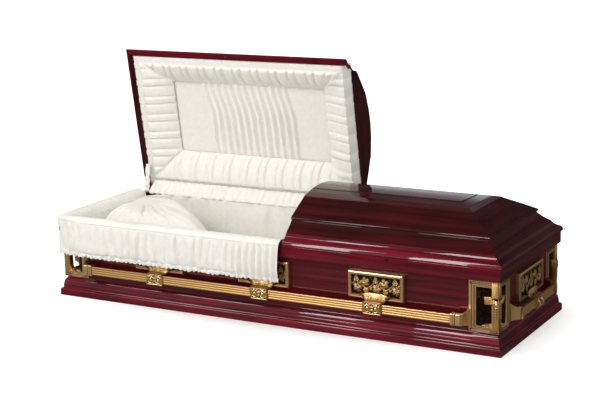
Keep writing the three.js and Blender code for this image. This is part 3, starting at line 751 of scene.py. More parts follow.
def pillow_form(swell):
    """The cushion's starting form: a closed rounded box, thin at its edges."""
    bm = bmesh.new()
    bmesh.ops.create_cube(bm, size=2)
    bmesh.ops.subdivide_edges(bm, edges=bm.edges, cuts=23, use_grid_fill=True)
    low, high = Vector(PILLOW_LOW), Vector(PILLOW_HIGH)
    mid = between(low.z, high.z, 0.34)
    for vert in bm.verts:
        a, b, c = vert.co
        edge = max(abs(a), abs(b), 1e-6)
        round_by = (abs(a / edge) ** 3.6 + abs(b / edge) ** 3.6) ** (-1 / 3.6)
        fall = max(abs(a) ** (1 if a > 0 else 3), abs(b) ** (1 if b > 0 else 2))
        plump = 0.05 + 0.95 * math.sqrt(max(1 - fall ** 3.6, 0)) ** 1.3
        a, b = a * round_by, b * round_by
        x = low.x + PILLOW_LONG / 2 * (a + 1) * (1 - PILLOW_SLANT * (b + 1) / 2)
        y = (low.y + high.y) / 2 + (high.y - low.y) / 2 * b
        up = (high.z - mid) * swell if c > 0 else mid - low.z
        z = mid + up * c * plump
        vert.co = (x, y, max(z, low.z + 0.001))
    bmesh.ops.recalc_face_normals(bm, faces=bm.faces)
    return bm


def swell_pillow(pillow):
    """Lets the cloth fill out under air pressure, no point further than 12 mm, and keeps the result."""
    remesh = pillow.modifiers.new("voxels", "REMESH")
    remesh.mode = "VOXEL"
    remesh.voxel_size = 0.006
    still = bpy.data.meshes.new_from_object(pillow.evaluated_get(bpy.context.evaluated_depsgraph_get()))
    pillow.modifiers.clear()
    pillow.data = still
    before = [vert.co.copy() for vert in still.vertices]
    air = pillow.modifiers.new("air", "CLOTH")
    air.settings.use_pressure = True
    air.settings.uniform_pressure_force = 4
    air.settings.effector_weights.gravity = 0
    air.settings.quality = 4
    for frame_number in range(1, 21):
        scene.frame_set(frame_number)
    swollen = bpy.data.meshes.new_from_object(pillow.evaluated_get(bpy.context.evaluated_depsgraph_get()))
    scene.frame_set(1)
    pillow.modifiers.clear()
    pillow.data = swollen
    for vert, was in zip(swollen.vertices, before):
        moved = vert.co - was
        if moved.length > 0.012:
            moved.length = 0.012
        vert.co = was + moved
        vert.co.z = max(vert.co.z, PILLOW_LOW[2] + 0.001)


def crease_pillow(pillow):
    """Creases spread from the gathered head end over the top, and short ones run in from the edges."""
    low = Vector(PILLOW_LOW)
    root = Vector((low.x + 0.13, low.y + 0.30))
    for vert, normal in zip(pillow.data.vertices, [v.normal.copy() for v in pillow.data.vertices]):
        top = ease(0.1, 0.7, normal.z)
        flat = Vector((vert.co.x, vert.co.y))
        away = flat - root
        bearing = math.atan2(away.y, away.x)
        bend = 0.5 * noise.noise(Vector((vert.co.x * 7, vert.co.y * 7, 11)))
        rays = abs(math.sin(bearing * 9 + 3.5 * bend)) ** 0.6 - 0.75
        fine = abs(math.sin(bearing * 21 + 7 * bend)) ** 0.7 - 0.7
        near = 1 - ease(0.16, 0.52, away.length)
        soft = noise.noise(Vector((vert.co.x * 9, vert.co.y * 14, 5)))
        gathered = (0.35 + 0.65 * near) * ease(0.02, 0.14, away.length)
        rise = (0.0130 * rays + 0.0075 * fine) * gathered + 0.0040 * soft - 0.004
        vert.co += normal * rise * top


def make_pillow():
    pillow = new_piece("pillow_cushion", pillow_form(0.86), ivory, smooth=180)
    swell_pillow(pillow)
    crease_pillow(pillow)
    pillow.data.materials.clear()
    pillow.data.materials.append(ivory)
    pillow.data.polygons.foreach_set("use_smooth", [True] * len(pillow.data.polygons))
    threads = pillow.data.uv_layers.get("threads") or pillow.data.uv_layers.new(name="threads")
    for loop in pillow.data.loops:
        place = pillow.data.vertices[loop.vertex_index].co
        threads.data[loop.index].uv = (place.x, place.y + place.z)
    return pillow


pillow = make_pillow()
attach(pillow, "root")
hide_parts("pillow")
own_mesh(pillow)

# Apron
# A wide satin apron rolls over the rim, hangs outside it and ends in a puckered elastic hem. The soft roll
# and the hanging part are two sheets.
APRON_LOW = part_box("apron")[0][2]
APRON_END = (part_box("apron")[1][0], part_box("apron")[1][1])
ROLL_LINE = smooth_line([
    (-0.0500, 0.3020), (-0.0480, 0.334), (-0.040, 0.350), (-0.026, 0.3585), (-0.006, 0.3625), (0.010, 0.360),
    (0.0190, 0.352), (0.0225, RIM_TOP + 0.001),
])
SKIRT_LINE = smooth_line([
    (0.0225, RIM_TOP + 0.001), (0.0265, 0.310), (0.0295, 0.270), (0.0310, 0.240), (0.0290, 0.217),
    (0.0235, 0.209), (0.0255, 0.202), (0.0245, APRON_LOW),
])
APRON_TALL = RIM_TOP - APRON_LOW
APRON_LONG = APRON_END[0] + RIM[0] + APRON_END[1] + RIM[1]
CORNER_ROUND = 0.020
CORNER_SHARES = (0.642, 0.672)


def rim_walk(u, out):
    """Place and outward direction on the rim's front and head sides, a distance out from its edge. Near the
    corner the cloth is drawn in against the rim."""
    fillet, shares = CORNER_ROUND, CORNER_SHARES
    near = 0 if shares[0] < u < shares[1] else min(abs(u - share) for share in shares) * APRON_LONG
    drawn = 1 - ease(0, 0.13, near)
    out = between(out, min(out, 0.004 if out > 0.0265 else 0.006), drawn)
    edge = (RIM[0] + out, RIM[1] + out)
    runs = (APRON_END[0] + edge[0] - fillet, fillet * math.pi / 2, APRON_END[1] + edge[1] - fillet)
    if u <= shares[0]:
        return Vector((APRON_END[0] - runs[0] * u / shares[0], -edge[1], 0)), Vector((0, -1, 0))
    if u >= shares[1]:
        along = (u - shares[1]) / (1 - shares[1])
        return Vector((-edge[0], -edge[1] + fillet + runs[2] * along, 0)), Vector((-1, 0, 0))
    turn = (u - shares[0]) / (shares[1] - shares[0]) * math.pi / 2
    aim = Vector((-math.sin(turn), -math.cos(turn), 0))
    return Vector((-edge[0] + fillet, -edge[1] + fillet, 0)) + aim * fillet, aim


def gathers(u, down):
    """The apron's folds: crushed on the slant along most of its length, with even pleats near the lids'
    seam."""
    along = u * APRON_LONG
    pleats = math.cos(2 * math.pi * (along + 0.004 * noise.noise(Vector((along * 5, down * 8, 3)))) / 0.031)
    even = 1 - ease(0.10, 0.42, along)
    warp = 0.026 * noise.noise(Vector((along * 7, down * 8, 17))) + 0.012 * noise.noise(
        Vector((along * 19, down * 18, 29))
    )
    lean = along + 1.1 * down * noise.noise(Vector((along * 3.4, 0, 41))) + warp
    bulge = abs(math.sin(math.pi * lean / 0.045)) ** 0.75
    deep = min(max(0.62 + 0.9 * noise.noise(Vector((lean * 13, down * 7, 61))), 0.15), 1.1)
    crumple = noise.noise(Vector((along * 34, down * 30, 71)))
    crushed = (bulge - 0.75) * 1.9 * deep + 0.45 * crumple
    return even * (0.85 * pleats + 0.3 * crumple) + (1 - even) * crushed


def roll_place(u, v):
    out, z = ROLL_LINE(v)
    point, aim = rim_walk(u, out)
    lift = Vector((aim.x * 0.35, aim.y * 0.35, 0.75)) if v < 0.75 else aim
    soft = 0.0050 * gathers(u, -v * 0.09) * math.sin(math.pi * min(v * 1.15 + 0.06, 1) ** 0.8)
    edge = 0.00315 * gathers(u, 0) * ease(0.72, 1, v)
    place = point + lift * soft * (1 - ease(0.72, 1, v)) + aim * (edge + 0.002 * ease(0.72, 1, v))
    place.z += z
    return place


def skirt_place(u, v):
    out, z = SKIRT_LINE(v)
    point, aim = rim_walk(u, out)
    down = v * APRON_TALL
    gathered = 1 - 0.45 * ease(0.75, 0.86, v)
    fold = 0.0090 * gathers(u, down) * gathered * (0.35 + 0.65 * ease(0, 0.16, v))
    pucker = 0.0028 * math.sin(2 * math.pi * u * APRON_LONG / 0.017 + 2 * noise.noise(Vector((u * 90, 0, 5))))
    pucker *= ease(0.78, 0.92, v)
    place = point + aim * (fold + pucker + 0.002)
    place.z += z + 0.0022 * math.sin(2 * math.pi * u * APRON_LONG / 0.023 + 9 * u) * ease(0.9, 1, v)
    place.z += 0.004 * noise.noise(Vector((u * 30, 1, 2))) * ease(0.8, 1, v)
    return place


apron_skirt = cloth("apron_skirt", 460, 34, skirt_place, (APRON_LONG, APRON_TALL + 0.03))
apron_roll = cloth("apron_roll", 460, 14, roll_place, (APRON_LONG, 0.09))
for piece in (apron_skirt, apron_roll):
    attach(piece, "root")
    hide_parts("apron")
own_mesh(apron_roll)

# Hinge cloth
# A gathered strip closes the gap between the back of the box and the open lid, and a crumpled sleeve hides
# the lid's stay at the head end.
hinge_low, hinge_high = span("hinge_cloth")
HINGE_STRIP = smooth_line([
    (hinge_low.y, hinge_low.z - 0.004), (hinge_low.y + 0.015, hinge_low.z + 0.010),
    (hinge_low.y + 0.030, hinge_low.z + 0.024), (hinge_high.y - 0.008, hinge_high.z - 0.014),
    (hinge_high.y - 0.003, hinge_high.z),
])


def hinge_cloth_place(u, v):
    y, z = HINGE_STRIP(v)
    x = between(hinge_low.x, hinge_high.x, u)
    pleat = math.cos(2 * math.pi * (x + 0.012 * noise.noise(Vector((x * 9, v, 3)))) / 0.034)
    fold = 0.0050 * ruffle(x, v * 0.08, 83) + 0.0030 * pleat + 0.004 * math.sin(math.pi * v)
    return Vector((x, y - fold * 0.7, z + fold * 0.7))


HINGE_CLOTH_LONG = hinge_high.x - hinge_low.x
hinge_cloth = cloth("hinge_cloth_strip", 200, 10, hinge_cloth_place, (HINGE_CLOTH_LONG, 0.075))
sleeve_low, sleeve_high = span("lid_stay_sleeve")
SLEEVE_LINE = smooth_line([
    (sleeve_low.y, sleeve_low.z), (sleeve_low.y + 0.006, sleeve_low.z + 0.030),
    (sleeve_low.y + 0.012, sleeve_low.z + 0.075), (sleeve_high.y - 0.003, sleeve_high.z),
])


def sleeve_place(u, v):
    y, z = SLEEVE_LINE(v)
    turn = 2 * math.pi * u
    crumple = 0.10 * noise.noise(Vector((turn, v * 9, 4)))
    wrinkle = 1 + 0.16 * math.sin(v * 26 + 1.5 * math.sin(turn)) + crumple
    half = (sleeve_high.x - sleeve_low.x) / 2
    x = (sleeve_low.x + sleeve_high.x) / 2 + half * math.cos(turn) * wrinkle * 0.85
    return Vector((x, y + 0.006 * math.sin(turn) * wrinkle, z))


sleeve = cloth("lid_stay_sleeve_cloth", 28, 44, sleeve_place, (0.07, 0.13), merge=True)
for piece, node in ((hinge_cloth, "hinge_cloth"), (sleeve, "lid_stay_sleeve")):
    low, high = span(node)
    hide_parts(node)
    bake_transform(piece)

# Lid linings
# Padded borders slope from the lid's edge to a panel. They are mitred at the corners and crossed by pairs of
# tucks; the head lid's panel is gathered into deep pleats between two smooth ends.
LINING = {
    "left": -RIM[0] + 0.0235,
    "right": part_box("head_lid_header")[0][0] - 0.001,
    "front": -RIM[1] + 0.0235,
    "back": RIM[1] - 0.0235,
}
panel_closed = [OPENED.inverted() @ Vector(corner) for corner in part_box("head_lid_lining_panel")]
PANEL = {
    "left": panel_closed[0].x,
    "right": panel_closed[1].x,
    "front": -RIM[1] + 0.150,
    "back": RIM[1] - 0.190,
}
PANEL_DEEP = 0.053
RIM_INSIDE = (RIM[0] - 0.055, RIM[1] - 0.055)
BORDER_LINE = smooth_line([
    (0, 0.0065), (0.20, 0.0015), (0.42, 0.0075), (0.68, 0.0235), (0.88, 0.0405), (1, 0.0515),
])
STRIP_LINE = smooth_line([(0, 0.0015), (0.33, 0.018), (0.66, 0.034), (1, 0.0515)])


TUCK_WIDE = 0.028


def tucks(along, period, first):
    """Height of a pair of tucks: a flat band of cloth with a crease at either side, repeated."""
    nearest = round((along - first) / period) * period + first
    off = abs(along - nearest)
    band = 1 - ease(TUCK_WIDE / 2 - 0.006, TUCK_WIDE / 2 + 0.002, off)
    groove = math.exp(-(((off - TUCK_WIDE / 2 - 0.004) / 0.0055) ** 2))
    return band - groove


def border_place(side, u, v, puff, period, first, bow):
    """A point of one side's padded border in the closed lid; u runs along it and v from the lid's edge
    inwards."""
    share, height = BORDER_LINE(v)
    if side == "right":
        away = ease(0, 0.14, u) * ease(0, 0.14, 1 - u)
        share, height = (between(*pair, away) for pair in zip((share, height), STRIP_LINE(v)))
    if side in ("front", "back"):
        edge = (between(LINING["left"], LINING["right"], u), LINING[side])
        inner = (between(PANEL["left"], PANEL["right"], u), PANEL[side])
    else:
        edge = (LINING[side], between(LINING["front"], LINING["back"], u))
        inner = (PANEL[side], between(PANEL["front"], PANEL["back"], u))
    x, y = between(edge[0], inner[0], share), between(edge[1], inner[1], share)
    along = x if side in ("front", "back") else y
    along += bow * math.sin(math.pi * v)
    tuck = tucks(along, period, first)
    soft = 0.5 + 0.5 * math.cos(2 * math.pi * (along - first) / period)
    middle = math.sin(math.pi * min(max(v, 0), 1)) ** 0.7
    mitre = min(ease(0, 0.045, u), ease(0, 0.045, 1 - u))
    rise = puff * middle * (1 - 0.35 * soft) + 0.0058 * tuck * (0.3 + 0.7 * middle)
    rise += 0.0022 * noise.noise(Vector((x * 22, y * 22, height * 20))) * middle
    clear = min(RIM_INSIDE[1] - abs(y), x + RIM_INSIDE[0])
    lowest = LID_BOTTOM + 0.0015 - max(clear, 0)
    return Vector((x, y, max(LID_BOTTOM + height - between(0.006 * middle, rise, mitre), lowest)))


def lid_sheet(name, columns, rows, place, size, lid):
    bm = cloth(name, columns, rows, place, size, bm_only=True)
    if lid == "head_lid":
        bmesh.ops.transform(bm, matrix=OPENED, verts=bm.verts)
    return sheet_piece(name, bm)


borders = {
    "front": (0.012, 0.093, -0.915, 0.004, 420, 34),
    "back": (0.016, 0.093, -0.925, 0.018, 420, 40),
    "left": (0.014, 0.086, -0.270, 0.006, 250, 34),
    "right": (0.0015, 0.086, -0.236, 0.0, 250, 26),
}
for side, (puff, period, first, bow, columns, rows) in borders.items():

    def border_point(u, v, side=side, puff=puff, period=period, first=first, bow=bow):
        if side == "right" and v < 0.25:
            back = v / 0.25
            edge = border_place(side, u, 0, puff, period, first, bow)
            fold = abs(((edge.y / 0.043) % 2) - 1) - 0.5
            lift = Vector((0.0155 * (1 - back), 0, 0.0475 * (1 - back)))
            return edge + lift + Vector((-0.0090, 0, -0.006)) * fold * math.sin(math.pi * back)
        return border_place(side, u, (v - 0.25) / 0.75 if side == "right" else v, puff, period, first, bow)

    piece = lid_sheet(f"head_lid_border_{side}", columns, rows, border_point, (1.1, 0.16), "head_lid")
    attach(piece, "head_lid")
    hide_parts("head_lid_lining_border")
    long, wide = ((1.10, 0.19) if side in ("front", "back") else (0.66, 0.21))


def panel_place(u, v):
    x = between(PANEL["left"] - 0.012, PANEL["right"] + 0.012, u)
    y = between(PANEL["front"] - 0.012, PANEL["back"] + 0.012, v)
    slant = 0.034 * (1 - ease(0, 0.50, v))
    line = x + slant
    pleated = ease(-0.662, -0.632, line) * (1 - ease(-0.217, -0.192, line))
    wave = math.cos(2 * math.pi * (line + 0.003 * noise.noise(Vector((line * 12, v * 3, 8)))) / 0.0355)
    fold = (0.5 + 0.5 * wave) ** 1.4 * 0.0165 + 0.0012 * noise.noise(Vector((line * 90, v * 5, 2)))
    flat = 0.0025 * noise.noise(Vector((x * 7, y * 7, 1)))
    ends = 0.55 + 0.45 * math.sin(math.pi * v)
    return Vector((x, y, LID_BOTTOM + PANEL_DEEP + 0.004 - fold * pleated * ends - flat * (1 - pleated)))


panel = lid_sheet("head_lid_panel", 300, 50, panel_place, (1.5, 0.36), "head_lid")
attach(panel, "head_lid")
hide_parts("head_lid_lining_panel")

# Foot lid lining
# The shut lid has the same padded borders in plain gathered satin, round a flat panel.
FOOT_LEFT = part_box("foot_lid_lining")[0][0]
FOOT_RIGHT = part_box("foot_lid_lining")[1][0]
FOOT_PANEL = 0.125


def foot_border_place(side, u, v):
    share, height = BORDER_LINE(v)
    sign = -1 if side == "front" else 1
    if side == "end":
        edge = (FOOT_RIGHT, between(LINING["front"], LINING["back"], u))
        inner_y = between(LINING["front"] + FOOT_PANEL, LINING["back"] - FOOT_PANEL, u)
        inner = (FOOT_RIGHT - FOOT_PANEL, inner_y)
    else:
        edge = (between(FOOT_LEFT, FOOT_RIGHT, u), sign * LINING["back"])
        inner = (between(FOOT_LEFT, FOOT_RIGHT - FOOT_PANEL, u), sign * (LINING["back"] - FOOT_PANEL))
    x, y = between(edge[0], inner[0], share), between(edge[1], inner[1], share)
    fold = 0.003 * ruffle(y if side == "end" else x, v * 0.12, 91) * math.sin(math.pi * v)
    return Vector((x, y, LID_BOTTOM + height - 0.006 * math.sin(math.pi * v) - fold))


def foot_panel_place(u, v):
    x = between(FOOT_LEFT, FOOT_RIGHT - FOOT_PANEL + 0.01, u)
    half = LINING["back"] - FOOT_PANEL + 0.01
    y = between(-half, half, v)
    return Vector((x, y, LID_BOTTOM + PANEL_DEEP + 0.002 - 0.002 * ruffle(x, y, 97)))


foot_sheets = {
    side: (260 if side != "end" else 190, 20, lambda u, v, side=side: foot_border_place(side, u, v))
    for side in ("front", "back", "end")
}
foot_sheets["panel"] = (170, 60, foot_panel_place)
for part, (columns, rows, place) in foot_sheets.items():
    long = 0.64 if part == "end" else 0.90
    wide = 0.40 if part == "panel" else 0.14
    piece = lid_sheet(f"foot_lid_satin_{part}", columns, rows, place, (long, wide), "foot_lid")
    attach(piece, "foot_lid")
    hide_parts("foot_lid_lining")

# Bars
# Flat carrying bars with three flutes in their outer face, polished and plated in gilt brass. The hollows
# of all the metalwork are stained dark and its high parts are wiped bright.
BAR_FLUTES = (0.25, 0.5, 0.75)
BAR_OUT = -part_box("bar_front")[0][1]
BAR_IN = -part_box("bar_front")[1][1]
BAR_LOW, BAR_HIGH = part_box("bar_front")[0][2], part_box("bar_front")[1][2]


def metal(name, stain, dull, bright, roughness, texture=0.0, streaks=(70, 70, 70), spread=0.30):
    """Plated metal whose worn attribute is 0 in stained hollows and 1 on polished high parts."""
    made, tree, shader = material(name)
    coords = add_node(tree, "TexCoord")
    grain = add_node(tree, "Mapping", {0: coords.outputs["Object"], "Scale": streaks})
    patches = add_node(tree, "TexNoise", {"Vector": grain.outputs[0], "Scale": 1, "Detail": 5})
    worn = add_node(tree, "Attribute", attribute_name="worn")
    height = add_node(tree, "Math", {
        0: patches.outputs[0], 1: spread, 2: worn.outputs["Fac"],
    }, operation="MULTIPLY_ADD")
    tone = add_node(tree, "ValToRGB", {0: height.outputs[0]})
    stops_of(tone, [(0.18, stain), (0.42, tuple(0.35 * c for c in dull)), (0.74, dull), (1.0, bright)])
    shine = add_node(tree, "MapRange", {
        "Value": height.outputs[0], "To Min": roughness + 0.25, "To Max": roughness,
    })
    feed(tree, shader, {"Base Color": tone.outputs[0], "Roughness": shine.outputs[0], "Metallic": 1.0})
    if texture:
        cast = add_node(tree, "Bump", {
            "Strength": texture, "Distance": 0.0012, "Height": patches.outputs[0],
        })
        feed(tree, shader, {"Normal": cast.outputs[0]})
    return made


STAIN = (0.022, 0.013, 0.008)
gilt = metal(
    "gilt brass", STAIN, (0.58, 0.32, 0.11), (0.74, 0.45, 0.18), 0.38, streaks=(9, 9, 60), spread=0.10
)
gilt_cast = metal(
    "gilt casting", STAIN, (0.60, 0.36, 0.15), (0.86, 0.58, 0.28), 0.36, texture=0.08, spread=0.2
)
gilt_brushed = metal(
    "brushed gilt", STAIN, (0.62, 0.32, 0.09), (0.80, 0.46, 0.16), 0.38, texture=0.5, streaks=(420, 420, 60)
)
bronze = metal("dark bronze", STAIN, (0.10, 0.066, 0.036), (0.34, 0.25, 0.15), 0.40, texture=0.8)


def worn_layer(bm):
    return bm.verts.layers.float.get("worn") or bm.verts.layers.float.new("worn")


def placed(bm, side, along=0.0):
    """Turns a piece that stands on the front wall at the middle to its place on any of the four walls."""
    bmesh.ops.translate(bm, vec=(along, 0, 0), verts=bm.verts)
    if side in ("foot", "head"):
        bmesh.ops.rotate(bm, matrix=Matrix.Rotation(math.pi / 2, 3, "Z"), verts=bm.verts)
        bmesh.ops.translate(bm, vec=(WALL[0] - WALL[1], 0, 0), verts=bm.verts)
    if side in ("back", "head"):
        flip = (1, -1, 1) if side == "back" else (-1, 1, 1)
        bmesh.ops.scale(bm, vec=flip, verts=bm.verts)
        bmesh.ops.reverse_faces(bm, faces=bm.faces)
    return bm


def loft(bm, rings, worn=None):
    """A closed form through rings of points; worn gives each ring's polish."""
    layer = worn_layer(bm)
    face = bm.faces.new([bm.verts.new(point) for point in rings[0]])
    made = list(face.verts)
    for i, ring in enumerate(rings):
        if i:
            grown = bmesh.ops.extrude_face_region(bm, geom=[face])["geom"]
            face = next(each for each in grown if isinstance(each, bmesh.types.BMFace))
            made += face.verts
        for vert, point in zip(face.verts, ring):
            vert.co = point
            vert[layer] = worn[i] if worn else 1.0
    bmesh.ops.recalc_face_normals(bm, faces=list({f for vert in made for f in vert.link_faces}))
    return bm


def bar_outline():
    """The bar's section as (y, z, worn value), from the bottom of its outer face round to the back. The value
    is lower in the flutes and on the top, bottom and back faces, so the bar is darker towards its bottom and
    its back.
    """
    tall = BAR_HIGH - BAR_LOW
    outline = [(0.0030, BAR_LOW, 0.6), (0.0008, BAR_LOW + 0.0008, 1), (0, BAR_LOW + 0.0028, 1)]
    for share in BAR_FLUTES:
        z = BAR_LOW + share * tall
        outline += [(0, z - 0.0042, 1), (0.0005, z - 0.0026, 0.8), (0.0014, z, 0.45)]
        outline += [(0.0005, z + 0.0026, 0.8), (0, z + 0.0042, 1)]
    outline += [(0, BAR_HIGH - 0.0028, 1), (0.0008, BAR_HIGH - 0.0008, 1), (0.0030, BAR_HIGH, 0.8)]
    thick = BAR_OUT - BAR_IN
    outline += [(thick, BAR_HIGH - 0.002, 0.6), (thick, BAR_LOW + 0.002, 0.4)]
    return [(deep - BAR_OUT, z, shine) for deep, z, shine in outline]


for side in SIDES:
    low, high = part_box(f"bar_{side}")
    half = high[0] if side in ("front", "back") else high[1]
    bm = bmesh.new()
    layer = worn_layer(bm)
    section = bar_outline()
    loft(bm, [[(x, y, z) for y, z, shine in section] for x in (-half, half)])
    for vert in bm.verts:
        vert[layer] = min(section, key=lambda p: abs(p[0] - vert.co.y) + abs(p[1] - vert.co.z))[2]
    bar = new_piece(f"carrying_bar_{side}", placed(bm, side), gilt, smooth=24)
    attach(bar, "root")
    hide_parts(f"bar_{side}")

# Lugs
# Each lug is one casting: a framed plate with a vine in relief, a leaf-shaped arm and a clamp with two
# rosettes that holds the bar. The frame is polished and the relief's ground is stained.
FRAME_STEPS = [
    (0, 0.0160, 0.7), (0.0012, 0.0190, 1), (0.0036, 0.0208, 1), (0.0084, 0.0208, 1), (0.0094, 0.0190, 0.35),
    (0.0104, 0.0190, 0.4), (0.0114, 0.0203, 1), (0.0134, 0.0203, 1), (0.0150, 0.0132, 0.3),
]
GROUND = FRAME_STEPS[-1][1]
VINE_WAVES = 2.5
CLAMP_OUT, CLAMP_IN = BAR_OUT + 0.007, BAR_IN - 0.006
CLAMP_WIDE = 0.040


def grid_lines(low, high, edge, cell):
    """Grid lines that follow the steps at both ends, with even cells between."""
    count = round((high - low - 2 * edge[-1]) / cell)
    middle = [between(low + edge[-1], high - edge[-1], i / count) for i in range(1, count)]
    return [low + e for e in edge] + middle + [high - e for e in reversed(edge)]


def relief_slab(columns, rows, height, back):
    """A closed slab that faces the front: height gives how far a point stands out and how worn it is."""
    bm = bmesh.new()
    layer = worn_layer(bm)
    wide, tall = len(columns) - 1, len(rows) - 1
    bmesh.ops.create_grid(bm, x_segments=wide, y_segments=tall, size=0.5)
    for vert in bm.verts:
        x, z = columns[round((vert.co.x + 0.5) * wide)], rows[round((vert.co.y + 0.5) * tall)]
        out, vert[layer] = height(x, z)
        vert.co = (x, -out, z)
    rim = [edge for edge in bm.edges if edge.is_boundary]
    grown = bmesh.ops.extrude_edge_only(bm, edges=rim)["geom"]
    for vert in (each for each in grown if isinstance(each, bmesh.types.BMVert)):
        vert.co.y = -back
    rim = [each for each in grown if isinstance(each, bmesh.types.BMEdge) and each.is_boundary]
    bmesh.ops.contextual_create(bm, geom=rim)
    bmesh.ops.recalc_face_normals(bm, faces=bm.faces)
    return bm


def dome(off, radius, height):
    return height * math.sqrt(max(1 - (off / radius) ** 2, 0))


def leaf(p, q, size):
    """Relief of a leaf with five lobes; q runs from its stalk to its tip."""
    angle, off = math.atan2(p, q), math.hypot(p, q)
    reach = size * (0.52 + 0.48 * abs(math.cos(2.5 * angle)) ** 0.7)
    if off >= reach:
        return 0
    step = 2 * math.pi / 5
    vein = abs(angle - round(angle / step) * step) * off
    return dome(off, reach, 0.0058) - 0.0016 * math.exp(-((vein / 0.0011) ** 2))


def grapes(p, q):
    """Relief of a bunch of fruit that hangs from its stalk at q = 0."""
    rise = 0
    for row, count in enumerate((3, 4, 3, 2, 1)):
        for i in range(count):
            off = math.hypot(p - (i - (count - 1) / 2) * 0.0064, q - 0.0056 * row)
            rise = max(rise, dome(off, 0.0037, 0.0062 - 0.0004 * row))
    return rise


def vine_relief(x, z, wide, tall):
    phase = VINE_WAVES * math.pi * (x + wide) / wide
    swing = 0.30 * tall
    slope = swing * VINE_WAVES * math.pi / wide * math.cos(phase)
    off = abs(z - swing * math.sin(phase)) / math.sqrt(1 + slope * slope)
    rise = dome(off, 0.0030, 0.0046)
    gap = wide / VINE_WAVES
    for i in range(round(2 * VINE_WAVES)):
        up = -1 if i % 2 else 1
        p, q = x + wide - gap * (i + 0.5), -up * z
        if abs(p) > gap:
            continue
        lean = 0.35 * up
        across, forth = p * math.cos(lean) - q * math.sin(lean), p * math.sin(lean) + q * math.cos(lean)
        rise = max(rise, leaf(across, forth - 0.30 * tall, 0.58 * tall), grapes(p, -q - 0.36 * tall))
        curl = math.hypot(p - 0.46 * gap, q - 0.72 * tall)
        rise = max(rise, dome(abs(curl - 0.0050), 0.0014, 0.0028), dome(curl, 0.0020, 0.0030))
        small = math.hypot(p - 0.5 * gap, q + 0.30 * tall)
        rise = max(rise, leaf(p - 0.5 * gap, -q - 0.30 * tall, 0.26 * tall) if small < 0.3 * tall else 0)
    return max(rise, 0)


def lug_plate(half, low, high):
    steps = [step[0] for step in FRAME_STEPS]
    inner_wide, inner_tall, middle = half - steps[-1], (high - low) / 2 - steps[-1], (low + high) / 2

    def height(x, z):
        edge = min(x + half, half - x, z - low, high - z)
        for (e0, h0, w0), (e1, h1, w1) in zip(FRAME_STEPS, FRAME_STEPS[1:]):
            if edge <= e1 + 1e-6:
                share = (edge - e0) / (e1 - e0)
                return WALL[1] + between(h0, h1, share), between(w0, w1, share)
        rise = vine_relief(x, z - middle, inner_wide, inner_tall)
        pebble = 0.0004 * noise.noise(Vector((x * 400, z * 400, 0)))
        return WALL[1] + GROUND + rise + pebble, min(max(rise / 0.0075 - 0.05, 0), 0.62)

    columns, rows = grid_lines(-half, half, steps, 0.0014), grid_lines(low, high, steps, 0.0014)
    return relief_slab(columns, rows, height, WALL[1] + 0.0004)


def clamp_height(x, z):
    """The clamp's face: two rosettes between ribbed ends, with a bead above and below."""
    z -= (BAR_LOW + BAR_HIGH) / 2
    edge_x, edge_z = CLAMP_WIDE - abs(x), (BAR_HIGH - BAR_LOW) / 2 + 0.0055 - abs(z)
    off = math.hypot(abs(x) - 0.0185, z * 0.92)
    rise, worn = 0.0008, 0.35
    if off < 0.0078:
        rise, worn = 0.0008 + dome(off, 0.0078, 0.0060), 1
    elif off < 0.0105:
        rise, worn = 0.0, 0.05
    elif off < 0.0150:
        rise, worn = 0.0008 + dome(abs(off - 0.0128), 0.0024, 0.0040), 0.95
    elif edge_z > 0.004 and edge_x > 0.006:
        petals = 0.5 + 0.5 * math.cos(9 * math.atan2(z, abs(x) - 0.0185))
        rise, worn = 0.0006 + 0.0022 * petals, 0.15 + 0.7 * petals
    if edge_z < 0.0040:
        rise, worn = 0.0010 + dome(edge_z - 0.0020, 0.0021, 0.0026), 1
    if edge_x < 0.0060:
        rib = 0.5 + 0.5 * math.cos(2 * math.pi * edge_x / 0.0030)
        rise, worn = 0.0012 + 0.0018 * rib, 0.35 + 0.65 * rib
    return CLAMP_OUT - 0.0040 + rise, worn


def lug_arm(bm, low):
    """The arm: a leaf that grows out of the plate's lower edge, narrows and bends down into the clamp."""
    stations = [
        (0.0265, 0.0225, 0.003, 0.030, 1.5),
        (0.0210, 0.0240, 0.006, 0.062, 1.5),
        (0.0155, 0.0250, 0.008, 0.0755, 1.4),
        (0.0100, 0.0260, 0.010, 0.062, 1.2),
        (0.0030, 0.0285, 0.012, 0.049, 0.8),
        (-0.0030, 0.0350, 0.013, 0.0435, 0.5),
        (-0.0065, 0.0430, 0.012, 0.041, 0.6),
        (-0.0100, 0.0500, 0.011, 0.0395, 1.0),
        (-0.0125, 0.0545, 0.010, 0.0385, 1.3),
    ]
    rings = []
    for i, (rise, out, thick, half, tilt) in enumerate(stations):
        facing = Vector((0, -math.sin(tilt), math.cos(tilt)))
        centre = Vector((0, -(WALL[1] + out - thick / 2), low + rise))
        ring = []
        for k in range(48):
            turn = 2 * math.pi * k / 48
            across, up = math.cos(turn), math.sin(turn)
            wide = math.copysign(abs(across) ** 0.8, across)
            ribs = 0.0020 * abs(math.cos(4.5 * math.pi * wide)) * max(up, 0) * min(i, 3) / 3
            ring.append(centre + Vector((half * wide, 0, 0)) + facing * (thick / 2 * up + ribs))
        rings.append(ring)
    loft(bm, rings)
    layer = worn_layer(bm)
    for vert in bm.verts:
        ribbed = abs(math.cos(4.5 * math.pi * min(abs(vert.co.x) / 0.05, 1)))
        vert[layer] = 0.15 + 0.60 * ribbed
    return bm


def join_into(target, source):
    """Adds the mesh of one bmesh to another."""
    passing = bpy.data.meshes.new("passing")
    source.to_mesh(passing)
    source.free()
    target.from_mesh(passing)
    bpy.data.meshes.remove(passing)
    return target


